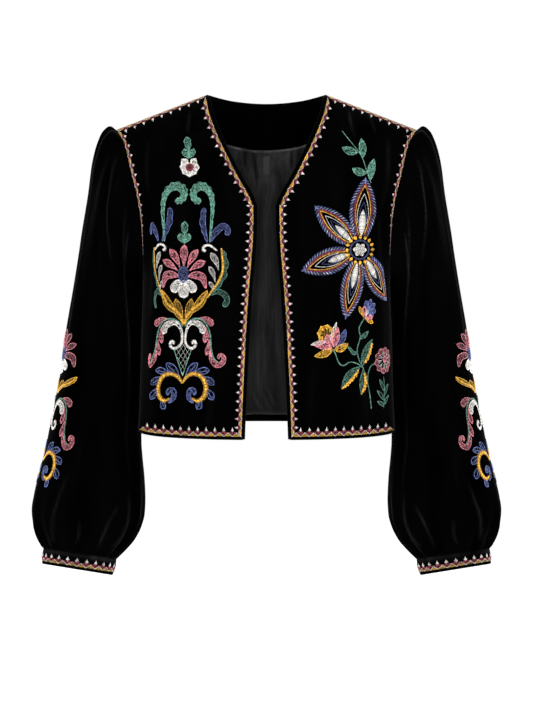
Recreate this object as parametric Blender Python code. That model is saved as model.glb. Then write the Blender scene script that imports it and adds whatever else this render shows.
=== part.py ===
"""Cropped velvet jacket with an open front and gathered balloon sleeves, filled out as when worn.

Metres, +Z up. The front faces -Y, the wearer's left is +X, and the origin lies midway
between the two neck points, where the shoulder seams meet the neckline.
"""

import bpy
import numpy as np


def table(names, *rows):
    """A short table as one array for each named column."""
    return dict(zip(names.split(), np.array(rows, float).T))


# Walls and seams
WALL = 0.0025
LINING_WALL = 0.0010
LABEL_WALL = 0.0008
SEAM = 0.0003
INSIDE_EASE = 0.0014

# Driving sizes of the body
NECK_HALF = 0.0765
TIP_X = 0.1944
SHOULDER_SLOPE = 0.385
TIP_Z = -SHOULDER_SLOPE * (TIP_X - NECK_HALF)
V_BOTTOM_Z = -0.1400
UNDERARM_Z = -0.2400
HEM_Z = -0.4350
FRONT_GAP_TOP = 0.0144
FRONT_GAP_HEM = 0.0285
BACK_NECK_DROP = 0.0120
BACK_NECK_DEPTH = 0.0500
BACK_NECK_ROUND = 0.8

# How square the body's section is, and how the shoulder rolls over into front and back
SECTION_POWER = 2.3
ROLL_DROP = 0.200
SHOULDER_ROLL = 0.60
BACK_NECK_ROLL = 0.95

# The body's section at each height; above the underarm it is the form that the armholes cut into
BODY = table(
    "z half_width front_depth back_depth widest_y",
    (HEM_Z, 0.1675, 0.099, 0.102, -0.010),
    (-0.3750, 0.1645, 0.103, 0.104, -0.011),
    (-0.3000, 0.1620, 0.107, 0.109, -0.012),
    (-0.2400, 0.1600, 0.108, 0.112, -0.012),
    (-0.1700, 0.1850, 0.106, 0.114, -0.012),
    (-0.1000, 0.2200, 0.101, 0.112, -0.012),
    (-0.0450, 0.2500, 0.095, 0.108, -0.012),
    (0.0400, 0.2700, 0.090, 0.104, -0.012),
)

# The armhole seam from the underarm up to the shoulder tip
ARMHOLE = table(
    "z front_x back_x",
    (UNDERARM_Z, 0.1600, 0.1600),
    (-0.2300, 0.1545, 0.1580),
    (-0.2050, 0.1525, 0.1580),
    (-0.1670, 0.1560, 0.1620),
    (-0.1350, 0.1636, 0.1680),
    (-0.1030, 0.1717, 0.1740),
    (-0.0620, 0.1834, 0.1850),
    (TIP_Z, TIP_X, TIP_X),
)

# The neckline's edge from the foot of the V up to the neck point
NECKLINE = table(
    "z x",
    (V_BOTTOM_Z, FRONT_GAP_TOP),
    (-0.1310, 0.0158),
    (-0.1200, 0.0212),
    (-0.1080, 0.0284),
    (-0.0775, 0.0450),
    (-0.0470, 0.0595),
    (-0.0220, 0.0692),
    (-0.0040, 0.0738),
    (0.0000, NECK_HALF),
)

# The left sleeve's rings: a point on the outer line, a point on the inner line, and the depth
# and place of the ring between them. The first is the armhole seam and the last the cuff seam.
SLEEVE = table(
    "outer_x outer_z inner_x inner_z centre_y half_depth",
    (TIP_X, TIP_Z, 0.1600, UNDERARM_Z, -0.003, 0.062),
    (0.2020, -0.0420, 0.1616, -0.2415, -0.001, 0.063),
    (0.2098, -0.0480, 0.1618, -0.2440, 0.002, 0.063),
    (0.2176, -0.0640, 0.1618, -0.2485, 0.006, 0.062),
    (0.2259, -0.0910, 0.1612, -0.2560, 0.011, 0.060),
    (0.2327, -0.1302, 0.1607, -0.2690, 0.018, 0.058),
    (0.2400, -0.1696, 0.1604, -0.2880, 0.024, 0.056),
    (0.2466, -0.2092, 0.1602, -0.3120, 0.029, 0.054),
    (0.2550, -0.2560, 0.1600, -0.3380, 0.032, 0.053),
    (0.2645, -0.3084, 0.1607, -0.3660, 0.034, 0.053),
    (0.2729, -0.3678, 0.1627, -0.4000, 0.034, 0.054),
    (0.2851, -0.4272, 0.1660, -0.4452, 0.031, 0.056),
    (0.2915, -0.4612, 0.1640, -0.4754, 0.026, 0.058),
    (0.2991, -0.4924, 0.1614, -0.5032, 0.020, 0.059),
    (0.3060, -0.5234, 0.1603, -0.5290, 0.014, 0.059),
    (0.3084, -0.5428, 0.1615, -0.5494, 0.010, 0.057),
    (0.3055, -0.5621, 0.1659, -0.5645, 0.006, 0.052),
    (0.3001, -0.5775, 0.1752, -0.5819, 0.003, 0.044),
    (0.2958, -0.5880, 0.1864, -0.5952, 0.001, 0.034),
    (0.2934, -0.5931, 0.1974, -0.6071, 0.000, 0.0270),
)
CUFF_FOOT = dict(outer=(0.2956, -0.6131), inner=(0.2024, -0.6284), half_depth=0.0265)

# How much of the armhole's own curve each of the first rings keeps
ARMHOLE_HOLD = (1.0, 0.66, 0.40, 0.20, 0.07)

# Long soft folds of the sleeve: angle round it, the rings it runs between, depth and width
SLEEVE_FOLDS = table(
    "angle first_ring last_ring depth width",
    (62, 5, 14, 0.0050, 13),
    (100, 4, 11, 0.0035, 15),
    (25, 3, 8, 0.0030, 12),
    (140, 7, 15, 0.0040, 14),
    (215, 5, 13, 0.0040, 15),
    (262, 6, 15, 0.0050, 14),
    (312, 4, 12, 0.0045, 13),
)
FOLD_TAPER = 1.5

# Gathers where the sleeve is eased into the armhole and drawn into the cuff
HEAD_GATHERS = 16
HEAD_GATHER_SPREAD = 105
HEAD_GATHER_FADE = 4
HEAD_GATHER_DEPTH = table("ring depth", (0, 0.0), (1, 0.0016), (3, 0.0026), (5, 0.0012), (8, 0.0))
CUFF_GATHERS = 16
CUFF_GATHER_DEPTH = table(
    "ring depth", (12, 0.0), (15, 0.0018), (17, 0.0034), (18, 0.0028), (19, 0.0010)
)
INNER_GATHER_SHARE = 0.6

# Soft upright folds of the back lining: place at the hem, slant, depth and width
LINING_FOLDS = table(
    "x slant depth width",
    (-0.118, 0.010, 0.0030, 0.016),
    (-0.072, 0.012, 0.0040, 0.014),
    (-0.030, 0.010, 0.0045, 0.011),
    (0.008, -0.004, 0.0035, 0.012),
    (0.043, -0.016, 0.0045, 0.013),
    (0.090, -0.012, 0.0035, 0.016),
)
LINING_FOLD_TOP = 1.1
LINING_HEM_Z = HEM_Z + 0.0100
LINING_SIDE_SHARE = 0.90

# Back neck facing: lower edge at the centre, how it rises outwards, and where it ends
FACING_Z = -0.0724
FACING_RISE = 0.0127 / 0.0548**2
FACING_HALF = 0.1000
FACING_WALL = 0.0012
FACING_SHOULDER_GAP = 0.0040
LINING_SHOULDER_GAP = 0.0120

# Blank woven label on the lining under the facing
LABEL_HALF_WIDTH = 0.0052
LABEL_TOP_Z, LABEL_FOOT_Z = -0.0800, -0.1050
LABEL_EASE = 0.0005

# Mesh divisions
ARMHOLE_ROWS = 16
V_ROW = 9
LOWER_ROWS = 7
FRONT_COLUMNS = 10
BACK_COLUMNS = 22
NECK_COLUMN_SHARE = 4 / 11
NECK_COLUMN_FADE = 0.3
SLEEVE_SIDES = 64
FACING_COLUMNS = 14
FACING_ROWS = 4
LINING_SIDE_COLUMNS = 3
LINING_ROWS = 12
SHARP_ANGLE = np.radians(50)
NUDGE = 1e-4


def through(known, values, at):
    """A smooth curve through a table's points that never overshoots them."""
    if known[0] > known[-1]:
        known, values = known[::-1], values[::-1]
    run = np.diff(known)
    slope = np.diff(values) / run
    both = slope[:-1] * slope[1:]
    total = slope[:-1] + slope[1:]
    middle = np.divide(2 * both, total, out=np.zeros_like(both), where=both > 0)
    tangent = np.concatenate([slope[:1], middle, slope[-1:]])
    at = np.clip(at, known[0], known[-1])
    i = np.clip(np.searchsorted(known, at) - 1, 0, len(run) - 1)
    t = (at - known[i]) / run[i]
    rise = values[i] + run[i] * t * (1 - t) ** 2 * tangent[i]
    rise = rise + (values[i + 1] - values[i]) * t**2 * (3 - 2 * t)
    return rise - run[i] * t**2 * (1 - t) * tangent[i + 1]


def shoulder_z(x):
    """Height of the shoulder seam's line at a distance from the centre."""
    return -SHOULDER_SLOPE * (np.abs(x) - NECK_HALF)


def body_y(x, z, side):
    """Depth of the body's outer surface, with side -1 on the front and 1 on the back."""
    x = np.abs(x)
    depth = BODY["front_depth"] if side < 0 else BODY["back_depth"]
    share = np.minimum(x / through(BODY["z"], BODY["half_width"], z), 1.0)
    bulge = (1 - share**SECTION_POWER) ** (1 / SECTION_POWER)
    full = through(BODY["z"], BODY["widest_y"], z) + side * bulge * through(BODY["z"], depth, z)
    top_z, top_y, power = shoulder_z(x), 0.0, SHOULDER_ROLL
    if side > 0:
        within = np.clip(1 - (x / NECK_HALF) ** 2, 0, 1)
        top_z = np.where(x < NECK_HALF, -BACK_NECK_DROP * within, top_z)
        top_y = BACK_NECK_DEPTH * within**BACK_NECK_ROUND
        power = SHOULDER_ROLL + (BACK_NECK_ROLL - SHOULDER_ROLL) * within
    drop = np.clip((top_z - z) / ROLL_DROP, 0, 1)
    return top_y + (full - top_y) * np.sin(np.pi / 2 * drop**power)


def armhole_share(row):
    """How far down the armhole a row ends, from 0 at the shoulder tip to 1 at the underarm."""
    return (1 - np.cos(np.pi * np.clip(row / ARMHOLE_ROWS, 0, 1))) / 2


def outer_end(row, side):
    """The x and z of a row's end on the armhole, or below it on the side seam."""
    below = np.clip((row - ARMHOLE_ROWS) / LOWER_ROWS, 0, 1)
    z = TIP_Z + (UNDERARM_Z - TIP_Z) * armhole_share(row) + (HEM_Z - UNDERARM_Z) * below
    column = ARMHOLE["front_x"] if side < 0 else ARMHOLE["back_x"]
    armhole_x = through(ARMHOLE["z"], column, z)
    return np.where(z < UNDERARM_Z, through(BODY["z"], BODY["half_width"], z), armhole_x), z


def inner_end(row):
    """The x and z of a front row's end on the neckline, or below it on the front edge."""
    below = np.clip((row - ARMHOLE_ROWS) / LOWER_ROWS, 0, 1)
    shares = (0.0, armhole_share(V_ROW), 1.0)
    z = np.interp(armhole_share(row), shares, (0.0, V_BOTTOM_Z, UNDERARM_Z))
    z = z + (HEM_Z - UNDERARM_Z) * below
    edge = np.interp(-z, (-V_BOTTOM_Z, -HEM_Z), (FRONT_GAP_TOP, FRONT_GAP_HEM))
    return np.where(z > V_BOTTOM_Z, through(NECKLINE["z"], NECKLINE["x"], z), edge), z


def even_share(column, first_x, last_x, z):
    """Share of the way across a row, spaced evenly round the body's curved side."""
    half_width = through(BODY["z"], BODY["half_width"], z)
    first, last = np.clip(first_x / half_width, 0, 1), np.clip(last_x / half_width, 0, 1)
    start, end = (np.arcsin(s ** (SECTION_POWER / 2)) for s in (first, last))
    here = np.sin(start + (end - start) * column) ** (2 / SECTION_POWER)
    return (here - first) / (last - first)


def front_point(column, row):
    """Left front: column 0 is the front edge and neckline, 1 the side seam and armhole."""
    (x0, z0), (x1, z1) = inner_end(row), outer_end(row, -1)
    share = even_share(column, x0, x1, z1)
    x, z = x0 + (x1 - x0) * share, z0 + (z1 - z0) * share
    return np.stack([x, body_y(x, z, -1) - SEAM / 2, z], axis=-1)


def back_point(column, row):
    """Back: column -1 is the right side, 0 the centre and 1 the left side."""
    across = np.abs(column)
    x1, z1 = outer_end(row, 1)
    drop = (z1 - TIP_Z) / (HEM_Z - TIP_Z)
    top_share = np.interp(across, (0, NECK_COLUMN_SHARE, 1), (0, NECK_HALF / TIP_X, 1))
    round_share = even_share(across, 0.0 * x1, x1, z1)
    x = x1 * (top_share + (round_share - top_share) * np.clip(drop / NECK_COLUMN_FADE, 0, 1))
    top_x = TIP_X * top_share
    neck = -BACK_NECK_DROP * np.clip(1 - (top_x / NECK_HALF) ** 2, 0, 1)
    top_z = np.where(top_x < NECK_HALF, neck, shoulder_z(top_x))
    z = top_z + (HEM_Z - top_z) * drop
    return np.stack([np.sign(column) * x, body_y(x, z, 1) + SEAM / 2, z], axis=-1)


def panel_normals(point, side, column, row):
    """Outward unit normals of a body panel, with side -1 on the front and 1 on the back."""
    first, last, foot = min(0, -side), 1, ARMHOLE_ROWS + LOWER_ROWS
    along = point(np.minimum(column + NUDGE, last), row) - point(np.maximum(column - NUDGE, first), row)
    down = point(column, np.minimum(row + NUDGE, foot)) - point(column, np.maximum(row - NUDGE, 0))
    return unit(np.cross(along, down)) * side


def unit(vectors):
    return vectors / np.linalg.norm(vectors, axis=-1, keepdims=True)


def armhole_curve(angle):
    """The armhole seam, from the shoulder tip down the front and up the back."""
    row = ARMHOLE_ROWS * np.where(angle <= np.pi, angle, 2 * np.pi - angle) / np.pi
    ends = [front_point(np.ones_like(row), row), back_point(np.ones_like(row), row)]
    return np.where((angle <= np.pi)[:, None], *ends)


def armhole_seam(sides):
    """The seam's points on the straight stretches between the panels' own edge points."""
    corners = np.arange(2 * ARMHOLE_ROWS + 1) * np.pi / ARMHOLE_ROWS
    angle = np.arange(sides) * 2 * np.pi / sides
    fixed = armhole_curve(corners)
    return np.stack([np.interp(angle, corners, fixed[:, i]) for i in range(3)], axis=-1)


def ring_point(ring, angle):
    """Plain sleeve ring: angle 0 is the outer line, a quarter turn the front, a half the inner line."""
    index = np.arange(len(SLEEVE["outer_x"]))
    at = {name: through(index, column, ring) for name, column in SLEEVE.items()}
    x = (at["outer_x"] + at["inner_x"]) / 2 + (at["outer_x"] - at["inner_x"]) / 2 * np.cos(angle)
    z = (at["outer_z"] + at["inner_z"]) / 2 + (at["outer_z"] - at["inner_z"]) / 2 * np.cos(angle)
    return np.stack([x, at["centre_y"] - at["half_depth"] * np.sin(angle), z], axis=-1)


def turn_between(angle, middle):
    """Degrees from one direction round the sleeve to another, the short way."""
    return (np.degrees(angle) - middle + 180) % 360 - 180


def sleeve_gathers(ring, angle):
    """Outward waves of the gathers at the armhole and at the cuff."""
    away = np.abs(turn_between(angle, 0)) / HEAD_GATHER_SPREAD
    head = through(HEAD_GATHER_DEPTH["ring"], HEAD_GATHER_DEPTH["depth"], ring)
    head = head * np.sin(HEAD_GATHERS * angle) * np.clip(1 - away**HEAD_GATHER_FADE, 0, 1)
    cuff = through(CUFF_GATHER_DEPTH["ring"], CUFF_GATHER_DEPTH["depth"], ring)
    return head + cuff * np.cos(CUFF_GATHERS * angle)


def sleeve_folds(ring, angle):
    """Inward depth of the long soft folds."""
    depth = np.zeros_like(angle)
    for middle, first, last, deep, width in zip(*SLEEVE_FOLDS.values()):
        along = np.clip((ring - first) / (last - first), 0, 1)
        across = np.exp(-((turn_between(angle, middle) / width) ** 2))
        depth = depth + deep * np.sin(np.pi * along) ** FOLD_TAPER * across
    return depth


def sleeve_grid():
    """Outer and inner points of the left sleeve, a row for each ring."""
    rings = len(SLEEVE["outer_x"])
    ring, turn = np.mgrid[0:rings, 0:SLEEVE_SIDES].astype(float)
    angle = turn * 2 * np.pi / SLEEVE_SIDES
    plain = ring_point(ring, angle)
    seam = armhole_seam(SLEEVE_SIDES)
    hold = np.zeros(rings)
    hold[: len(ARMHOLE_HOLD)] = ARMHOLE_HOLD
    plain = plain + hold[:, None, None] * (seam - plain[0])

    edge = np.roll(seam, -1, axis=0) - np.roll(seam, 1, axis=0)
    row = ARMHOLE_ROWS * np.where(angle[0] <= np.pi, angle[0], 2 * np.pi - angle[0]) / np.pi
    front = panel_normals(front_point, -1, np.ones_like(row), row)
    back = panel_normals(back_point, 1, np.ones_like(row), row)
    panel_normal = np.where((angle[0] <= np.pi)[:, None], front, back)
    away = unit(np.cross(panel_normal, edge))
    plain[0] += SEAM * away

    normal = grid_normals(plain)
    folds, gathers = sleeve_folds(ring, angle), sleeve_gathers(ring, angle)
    outer = plain + normal * (gathers - folds)[..., None]
    inward = -normal
    into_panel = np.minimum((inward[0] * away).sum(axis=1, keepdims=True), 0)
    inward[0] = unit(inward[0] - into_panel * away)
    gathers = gathers * INNER_GATHER_SHARE
    inner = plain + inward * WALL + normal * (gathers - folds)[..., None]
    return outer, inner


def grid_normals(points):
    """Outward unit normals of a tube of rings."""
    around = np.roll(points, -1, axis=1) - np.roll(points, 1, axis=1)
    along = np.gradient(points, axis=0)
    return unit(np.cross(around, along))


def cuff_grid():
    """Outer and inner points of the left cuff, from its seam to its lower edge."""
    angle = np.arange(SLEEVE_SIDES) * 2 * np.pi / SLEEVE_SIDES
    head = ring_point(np.full(SLEEVE_SIDES, len(SLEEVE["outer_x"]) - 1.0), angle)
    (ox, oz), (ix, iz) = CUFF_FOOT["outer"], CUFF_FOOT["inner"]
    foot_x = (ox + ix) / 2 + (ox - ix) / 2 * np.cos(angle)
    foot_z = (oz + iz) / 2 + (oz - iz) / 2 * np.cos(angle)
    foot = np.stack([foot_x, -CUFF_FOOT["half_depth"] * np.sin(angle), foot_z], axis=-1)
    head = head + SEAM * unit((foot - head).mean(axis=0))
    outer = np.stack([head, foot])
    return outer, outer - WALL * grid_normals(outer)


def inside_back(x, z, depth):
    """Points on the back's inside, moved in from its outer surface by a depth."""
    y = body_y(x, z, 1)
    z = np.minimum(z, top_of_back(x) - NUDGE)
    slope_x = (body_y(x + NUDGE, z, 1) - body_y(x - NUDGE, z, 1)) / (2 * NUDGE)
    slope_z = (body_y(x, z, 1) - body_y(x, z - NUDGE, 1)) / NUDGE
    normal = unit(np.stack([-slope_x, np.ones_like(x), -slope_z], axis=-1))
    return np.stack([x, y + SEAM / 2, z], axis=-1) - normal * np.asarray(depth)[..., None]


def top_of_back(x):
    """Height of the back's upper edge: the neckline between the neck points, then the shoulder."""
    x = np.abs(x)
    neck = -BACK_NECK_DROP * np.clip(1 - (x / NECK_HALF) ** 2, 0, 1)
    return np.where(x < NECK_HALF, neck, shoulder_z(x))


def facing_foot(x):
    return FACING_Z + FACING_RISE * x**2


def facing_columns():
    return np.linspace(-FACING_HALF, FACING_HALF, FACING_COLUMNS + 1)


def facing_grid():
    """Back neck facing, from the neckline to its curved lower edge."""
    share, x = np.meshgrid(np.linspace(0, 1, FACING_ROWS + 1), facing_columns(), indexing="ij")
    past_neck = np.clip((np.abs(x) - NECK_HALF) / (FACING_HALF - NECK_HALF), 0, 1)
    top = top_of_back(x) - NUDGE - FACING_SHOULDER_GAP * np.sqrt(past_neck)
    z = top + (facing_foot(x) - top) * share
    depth = np.full_like(x, WALL + INSIDE_EASE)
    return inside_back(x, z, depth), inside_back(x, z, depth + FACING_WALL)


def lining_depth(x, z):
    """How far the lining's soft folds stand in from the back."""
    depth = np.zeros_like(x)
    height = (z - LINING_HEM_Z) / (FACING_Z - LINING_HEM_Z)
    for middle, slant, deep, width in zip(*LINING_FOLDS.values()):
        across = (x - middle - slant * height) / width
        depth = depth + deep * np.exp(-(across**2)) * np.clip(LINING_FOLD_TOP - height, 0, 1)
    return depth


def lining_side(z):
    """Half the lining's width at a height."""
    armhole_x = through(ARMHOLE["z"], ARMHOLE["back_x"], z)
    side_x = through(BODY["z"], BODY["half_width"], z)
    return LINING_SIDE_SHARE * np.where(z < UNDERARM_Z, side_x, armhole_x)


def lining_grid():
    """Back lining, from the facing's lower edge to just above the hem, sharing the facing's columns."""
    top_half = lining_side(np.array(FACING_Z))
    past = np.linspace(FACING_HALF, top_half, LINING_SIDE_COLUMNS + 1)[1:]
    top_row = np.concatenate([-past[::-1], facing_columns(), past])
    share, top_x = np.meshgrid(np.linspace(0, 1, LINING_ROWS + 1), top_row, indexing="ij")
    top = np.minimum(facing_foot(top_x) - SEAM, shoulder_z(top_x) - LINING_SHOULDER_GAP)
    z = top + (LINING_HEM_Z - top) * share
    x = top_x / top_half * (top_half + (lining_side(z) - top_half) * np.minimum(2 * share, 1))
    depth = WALL + INSIDE_EASE + lining_depth(x, z)
    return inside_back(x, z, depth), inside_back(x, z, depth + LINING_WALL)


def label_grid():
    """Blank label on the lining."""
    heights = np.linspace(LABEL_TOP_Z, LABEL_FOOT_Z, 4)
    z, x = np.meshgrid(heights, np.linspace(-LABEL_HALF_WIDTH, LABEL_HALF_WIDTH, 3), indexing="ij")
    depth = WALL + INSIDE_EASE + lining_depth(x, z) + LINING_WALL + LABEL_EASE
    return inside_back(x, z, depth), inside_back(x, z, depth + LABEL_WALL)


def panel_grid(point, side, columns):
    """Outer and inner points of a body panel."""
    rows = np.arange(ARMHOLE_ROWS + LOWER_ROWS + 1.0)
    row, column = np.meshgrid(rows, columns, indexing="ij")
    outer = point(column, row)
    return outer, outer - WALL * panel_normals(point, side, column, row)


def cloth_solid(name, outer, inner, material, tube=False, mirrored=False):
    """Closes two grids of points into one wall, joined round its open edges."""
    rows, columns = outer.shape[:2]
    points = np.concatenate([outer.reshape(-1, 3), inner.reshape(-1, 3)])
    if mirrored:
        points = points * (-1, 1, 1)
    index = np.arange(rows * columns).reshape(rows, columns)
    if tube:
        index = np.concatenate([index, index[:, :1]], axis=1)
    across, down, slant = index[:-1, 1:], index[1:, :-1], index[1:, 1:]
    halves = [(index[:-1, :-1], down, slant), (index[:-1, :-1], slant, across)]
    halves = np.concatenate([np.stack(half, axis=-1).reshape(-1, 3) for half in halves])
    inside = rows * columns
    faces = [halves, halves[:, ::-1] + inside]
    borders = [index[0, ::-1], index[-1]]
    if not tube:
        borders += [index[:, 0], index[::-1, -1]]
    for border in borders:
        near, far = border[:-1], border[1:]
        faces.append(np.stack([far, near, near + inside], axis=-1))
        faces.append(np.stack([far, near + inside, far + inside], axis=-1))
    faces = np.concatenate(faces)
    if np.linalg.det(points[faces]).sum() < 0:
        faces = faces[:, ::-1]
    mesh = bpy.data.meshes.new(name)
    mesh.from_pydata(points.tolist(), [], faces.tolist())
    mesh.shade_smooth()
    mesh.set_sharp_from_angle(angle=SHARP_ANGLE)
    mesh.materials.append(material)
    bpy.context.collection.objects.link(bpy.data.objects.new(name, mesh))


def cloth_material(name, colour, roughness):
    material = bpy.data.materials.new(name)
    material.use_nodes = True
    shader = material.node_tree.nodes["Principled BSDF"]
    shader.inputs["Base Color"].default_value = (*colour, 1)
    shader.inputs["Roughness"].default_value = roughness
    shader.inputs["Metallic"].default_value = 0.0
    return material


def build():
    for old in list(bpy.data.objects):
        bpy.data.objects.remove(old)
    velvet = cloth_material("black_velvet", (0.006, 0.006, 0.007), 0.85)
    satin = cloth_material("dark_satin", (0.018, 0.018, 0.020), 0.38)
    tape = cloth_material("label_tape", (0.010, 0.010, 0.011), 0.70)

    front = panel_grid(front_point, -1, np.linspace(0, 1, FRONT_COLUMNS + 1))
    back = panel_grid(back_point, 1, np.linspace(-1, 1, BACK_COLUMNS + 1))
    sleeve, cuff = sleeve_grid(), cuff_grid()
    for side, mirrored in (("left", False), ("right", True)):
        cloth_solid(f"front_{side}", *front, velvet, mirrored=mirrored)
        cloth_solid(f"sleeve_{side}", *sleeve, velvet, tube=True, mirrored=mirrored)
        cloth_solid(f"cuff_{side}", *cuff, velvet, tube=True, mirrored=mirrored)
    cloth_solid("back", *back, velvet)
    cloth_solid("back_neck_facing", *facing_grid(), velvet)
    cloth_solid("back_lining", *lining_grid(), satin)
    cloth_solid("label", *label_grid(), tape)


build()
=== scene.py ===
# %% [markdown]
# # A cropped velvet jacket with flower embroidery
# The jacket hangs filled out, as when it is worn, with nobody in it. It is cut from black velvet,
# lined with dark satin, and sewn all over the fronts with coloured thread. The solids that were
# packed before hold its cut and size. This lesson dresses them: thin cloth shells with their
# creases, then about thirty thousand stitches laid on that cloth, one by one.

import bpy
import numpy as np
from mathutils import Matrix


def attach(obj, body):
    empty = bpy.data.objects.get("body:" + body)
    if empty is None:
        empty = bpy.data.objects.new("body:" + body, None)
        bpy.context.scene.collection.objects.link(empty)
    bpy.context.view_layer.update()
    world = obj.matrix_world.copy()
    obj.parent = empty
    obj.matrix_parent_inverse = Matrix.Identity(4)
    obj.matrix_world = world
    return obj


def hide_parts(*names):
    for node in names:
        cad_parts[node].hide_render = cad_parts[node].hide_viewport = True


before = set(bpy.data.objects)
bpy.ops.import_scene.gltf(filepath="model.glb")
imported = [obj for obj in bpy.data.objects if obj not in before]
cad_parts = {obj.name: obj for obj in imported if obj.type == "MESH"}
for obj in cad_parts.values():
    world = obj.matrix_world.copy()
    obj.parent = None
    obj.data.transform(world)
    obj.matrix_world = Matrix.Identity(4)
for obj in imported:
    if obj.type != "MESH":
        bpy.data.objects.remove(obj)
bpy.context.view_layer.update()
scene = bpy.context.scene
print("solids:", ", ".join(sorted(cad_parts)))

# %% [markdown]
# ## The camera
# The picture was taken from far off with a long lens, at about shoulder height. A camera that
# looks slightly down sees one row of the picture at its own height, and that row fixes its tilt.
# Trying angles until the picture fits would work too, but has to be done again for every lens.

# %% Camera
FRAME_HIGH, EYE_ROW = 711, 142
LENS_MM, SENSOR_MM = 116.8, 36.0
CAMERA_AWAY, CAMERA_HEIGHT = 3.0, -0.061

camera = bpy.data.objects.new("camera", bpy.data.cameras.new("camera"))
camera.data.lens = LENS_MM
camera.data.sensor_width = SENSOR_MM
pixels_per_slope = LENS_MM / SENSOR_MM * FRAME_HIGH
tilt = np.arctan((FRAME_HIGH / 2 - EYE_ROW) / pixels_per_slope)
camera.location = (0, -CAMERA_AWAY, CAMERA_HEIGHT)
camera.rotation_euler = (np.pi / 2 - tilt, 0, 0)
scene.collection.objects.link(camera)
scene.camera = camera
print(f"camera looks {np.degrees(tilt):.2f} degrees down")

# %% [markdown]
# ## Materials from nodes
# Every finish here is made of nodes, so it has no picture files to lose. A few small helpers keep
# the trees short: one adds a node and sets its sockets, one starts a material, and the rest give
# noises, ranges and tones. What is the same all over a surface is set on the shader itself, and
# what varies is linked.


# %% Node helpers
def add_node(tree, kind, sockets=None, **settings):
    """A new node with some settings and socket values; a socket as a value becomes a link."""
    node = tree.nodes.new(kind)
    for name, value in settings.items():
        setattr(node, name, value)
    for name, value in (sockets or {}).items():
        if isinstance(value, bpy.types.NodeSocket):
            tree.links.new(value, node.inputs[name])
        else:
            node.inputs[name].default_value = value
    return node


def new_material(name, **even):
    """A material with a Principled shader, and the values that are even all over it."""
    material = bpy.data.materials.new(name)
    material.use_nodes = True
    tree = material.node_tree
    shader = tree.nodes["Principled BSDF"]
    for socket, value in even.items():
        shader.inputs[socket.replace("_", " ")].default_value = value
    return material, tree, shader


def object_place(tree):
    return add_node(tree, "ShaderNodeTexCoord").outputs["Object"]


def carried(tree, name):
    """A number that the mesh carries on its points."""
    return add_node(tree, "ShaderNodeAttribute", attribute_name=name).outputs["Fac"]


print("Blender", bpy.app.version_string)

# %% Noises, ranges and tones
RANGE_SOCKETS = ("Value", "From Min", "From Max", "To Min", "To Max")
NOISE_MIDDLE, RAMP_STOPS = (0.3, 0.7), (0.32, 0.68)


def noise(tree, scale, stretch=(1, 1, 1), detail=2.0):
    """Noise on the piece's own place, stretched along an axis by a small factor."""
    mapped = add_node(tree, "ShaderNodeMapping", {"Vector": object_place(tree), "Scale": stretch})
    sockets = {"Vector": mapped.outputs["Vector"], "Scale": scale, "Detail": detail}
    return add_node(tree, "ShaderNodeTexNoise", sockets).outputs["Fac"]


def remapped(tree, source, came_from, goes_to):
    """A value carried over from one range to another."""
    sockets = dict(zip(RANGE_SOCKETS, (source, *came_from, *goes_to)))
    return add_node(tree, "ShaderNodeMapRange", sockets).outputs["Result"]


def spread(tree, source, low, high):
    """The middle of a noise spread between two values."""
    return remapped(tree, source, NOISE_MIDDLE, (low, high))


def two_tone(tree, source, first, second):
    """A colour that runs from one tone to another along a noise."""
    ramp = add_node(tree, "ShaderNodeValToRGB", {"Fac": source})
    for stop, place, tone in zip(ramp.color_ramp.elements, RAMP_STOPS, (first, second)):
        stop.position = place
        stop.color = (*tone, 1)
    return ramp.outputs["Color"]


def scaled(tree, colour, factor):
    """A colour made darker or lighter by a factor."""
    sockets = {0: colour, "Scale": factor}
    return add_node(tree, "ShaderNodeVectorMath", sockets, operation="SCALE").outputs[0]


def product(tree, first, second):
    return add_node(tree, "ShaderNodeMath", {0: first, 1: second}, operation="MULTIPLY").outputs[0]


def bump(tree, shader, height, distance, strength):
    sockets = {"Height": height, "Distance": distance, "Strength": strength}
    node = add_node(tree, "ShaderNodeBump", sockets)
    tree.links.new(node.outputs["Normal"], shader.inputs["Normal"])


print("a tone starts at", RAMP_STOPS[0], "of a noise and ends at", RAMP_STOPS[1])

# %% [markdown]
# ## Floor and light
# The jacket stands out against plain white, so the world itself is white and lights it softly
# from all round. Two large soft lamps in front shape the folds, and two from behind the shoulders
# catch the pile of the velvet along the sleeves. A studio picture wrapped round the scene could
# light it too, but a lamp can be moved. The floor lies well below the cuffs.

# %% Stage
FLOOR_Z = -1.0
FLOOR_RADIUS = 3.2
FLOOR_SIDES = 96

paper, tree, shader = new_material("paper_floor", Roughness=0.9, Specular_IOR_Level=0.1)
tone = two_tone(tree, noise(tree, 3.0), (0.93, 0.93, 0.93), (0.97, 0.97, 0.97))
tree.links.new(tone, shader.inputs["Base Color"])
bump(tree, shader, noise(tree, 180.0), 0.001, 0.1)

turn = np.arange(FLOOR_SIDES) * 2 * np.pi / FLOOR_SIDES
rim = np.stack([FLOOR_RADIUS * np.cos(turn), FLOOR_RADIUS * np.sin(turn), 0 * turn + FLOOR_Z], axis=1)
floor_mesh = bpy.data.meshes.new("floor")
floor_mesh.from_pydata(rim.tolist(), [], [list(range(FLOOR_SIDES))])
floor_mesh.materials.append(paper)
floor = bpy.data.objects.new("floor", floor_mesh)
scene.collection.objects.link(floor)

world = bpy.data.worlds.new("white_room")
world.use_nodes = True
world.node_tree.nodes["Background"].inputs["Color"].default_value = (1, 1, 1, 1)
world.node_tree.nodes["Background"].inputs["Strength"].default_value = 1.0
scene.world = world
scene.view_settings.view_transform = "Standard"
print(f"floor at {FLOOR_Z} m")

# %% Lamps
AIM = (0.0, 0.0, -0.28)
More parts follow.
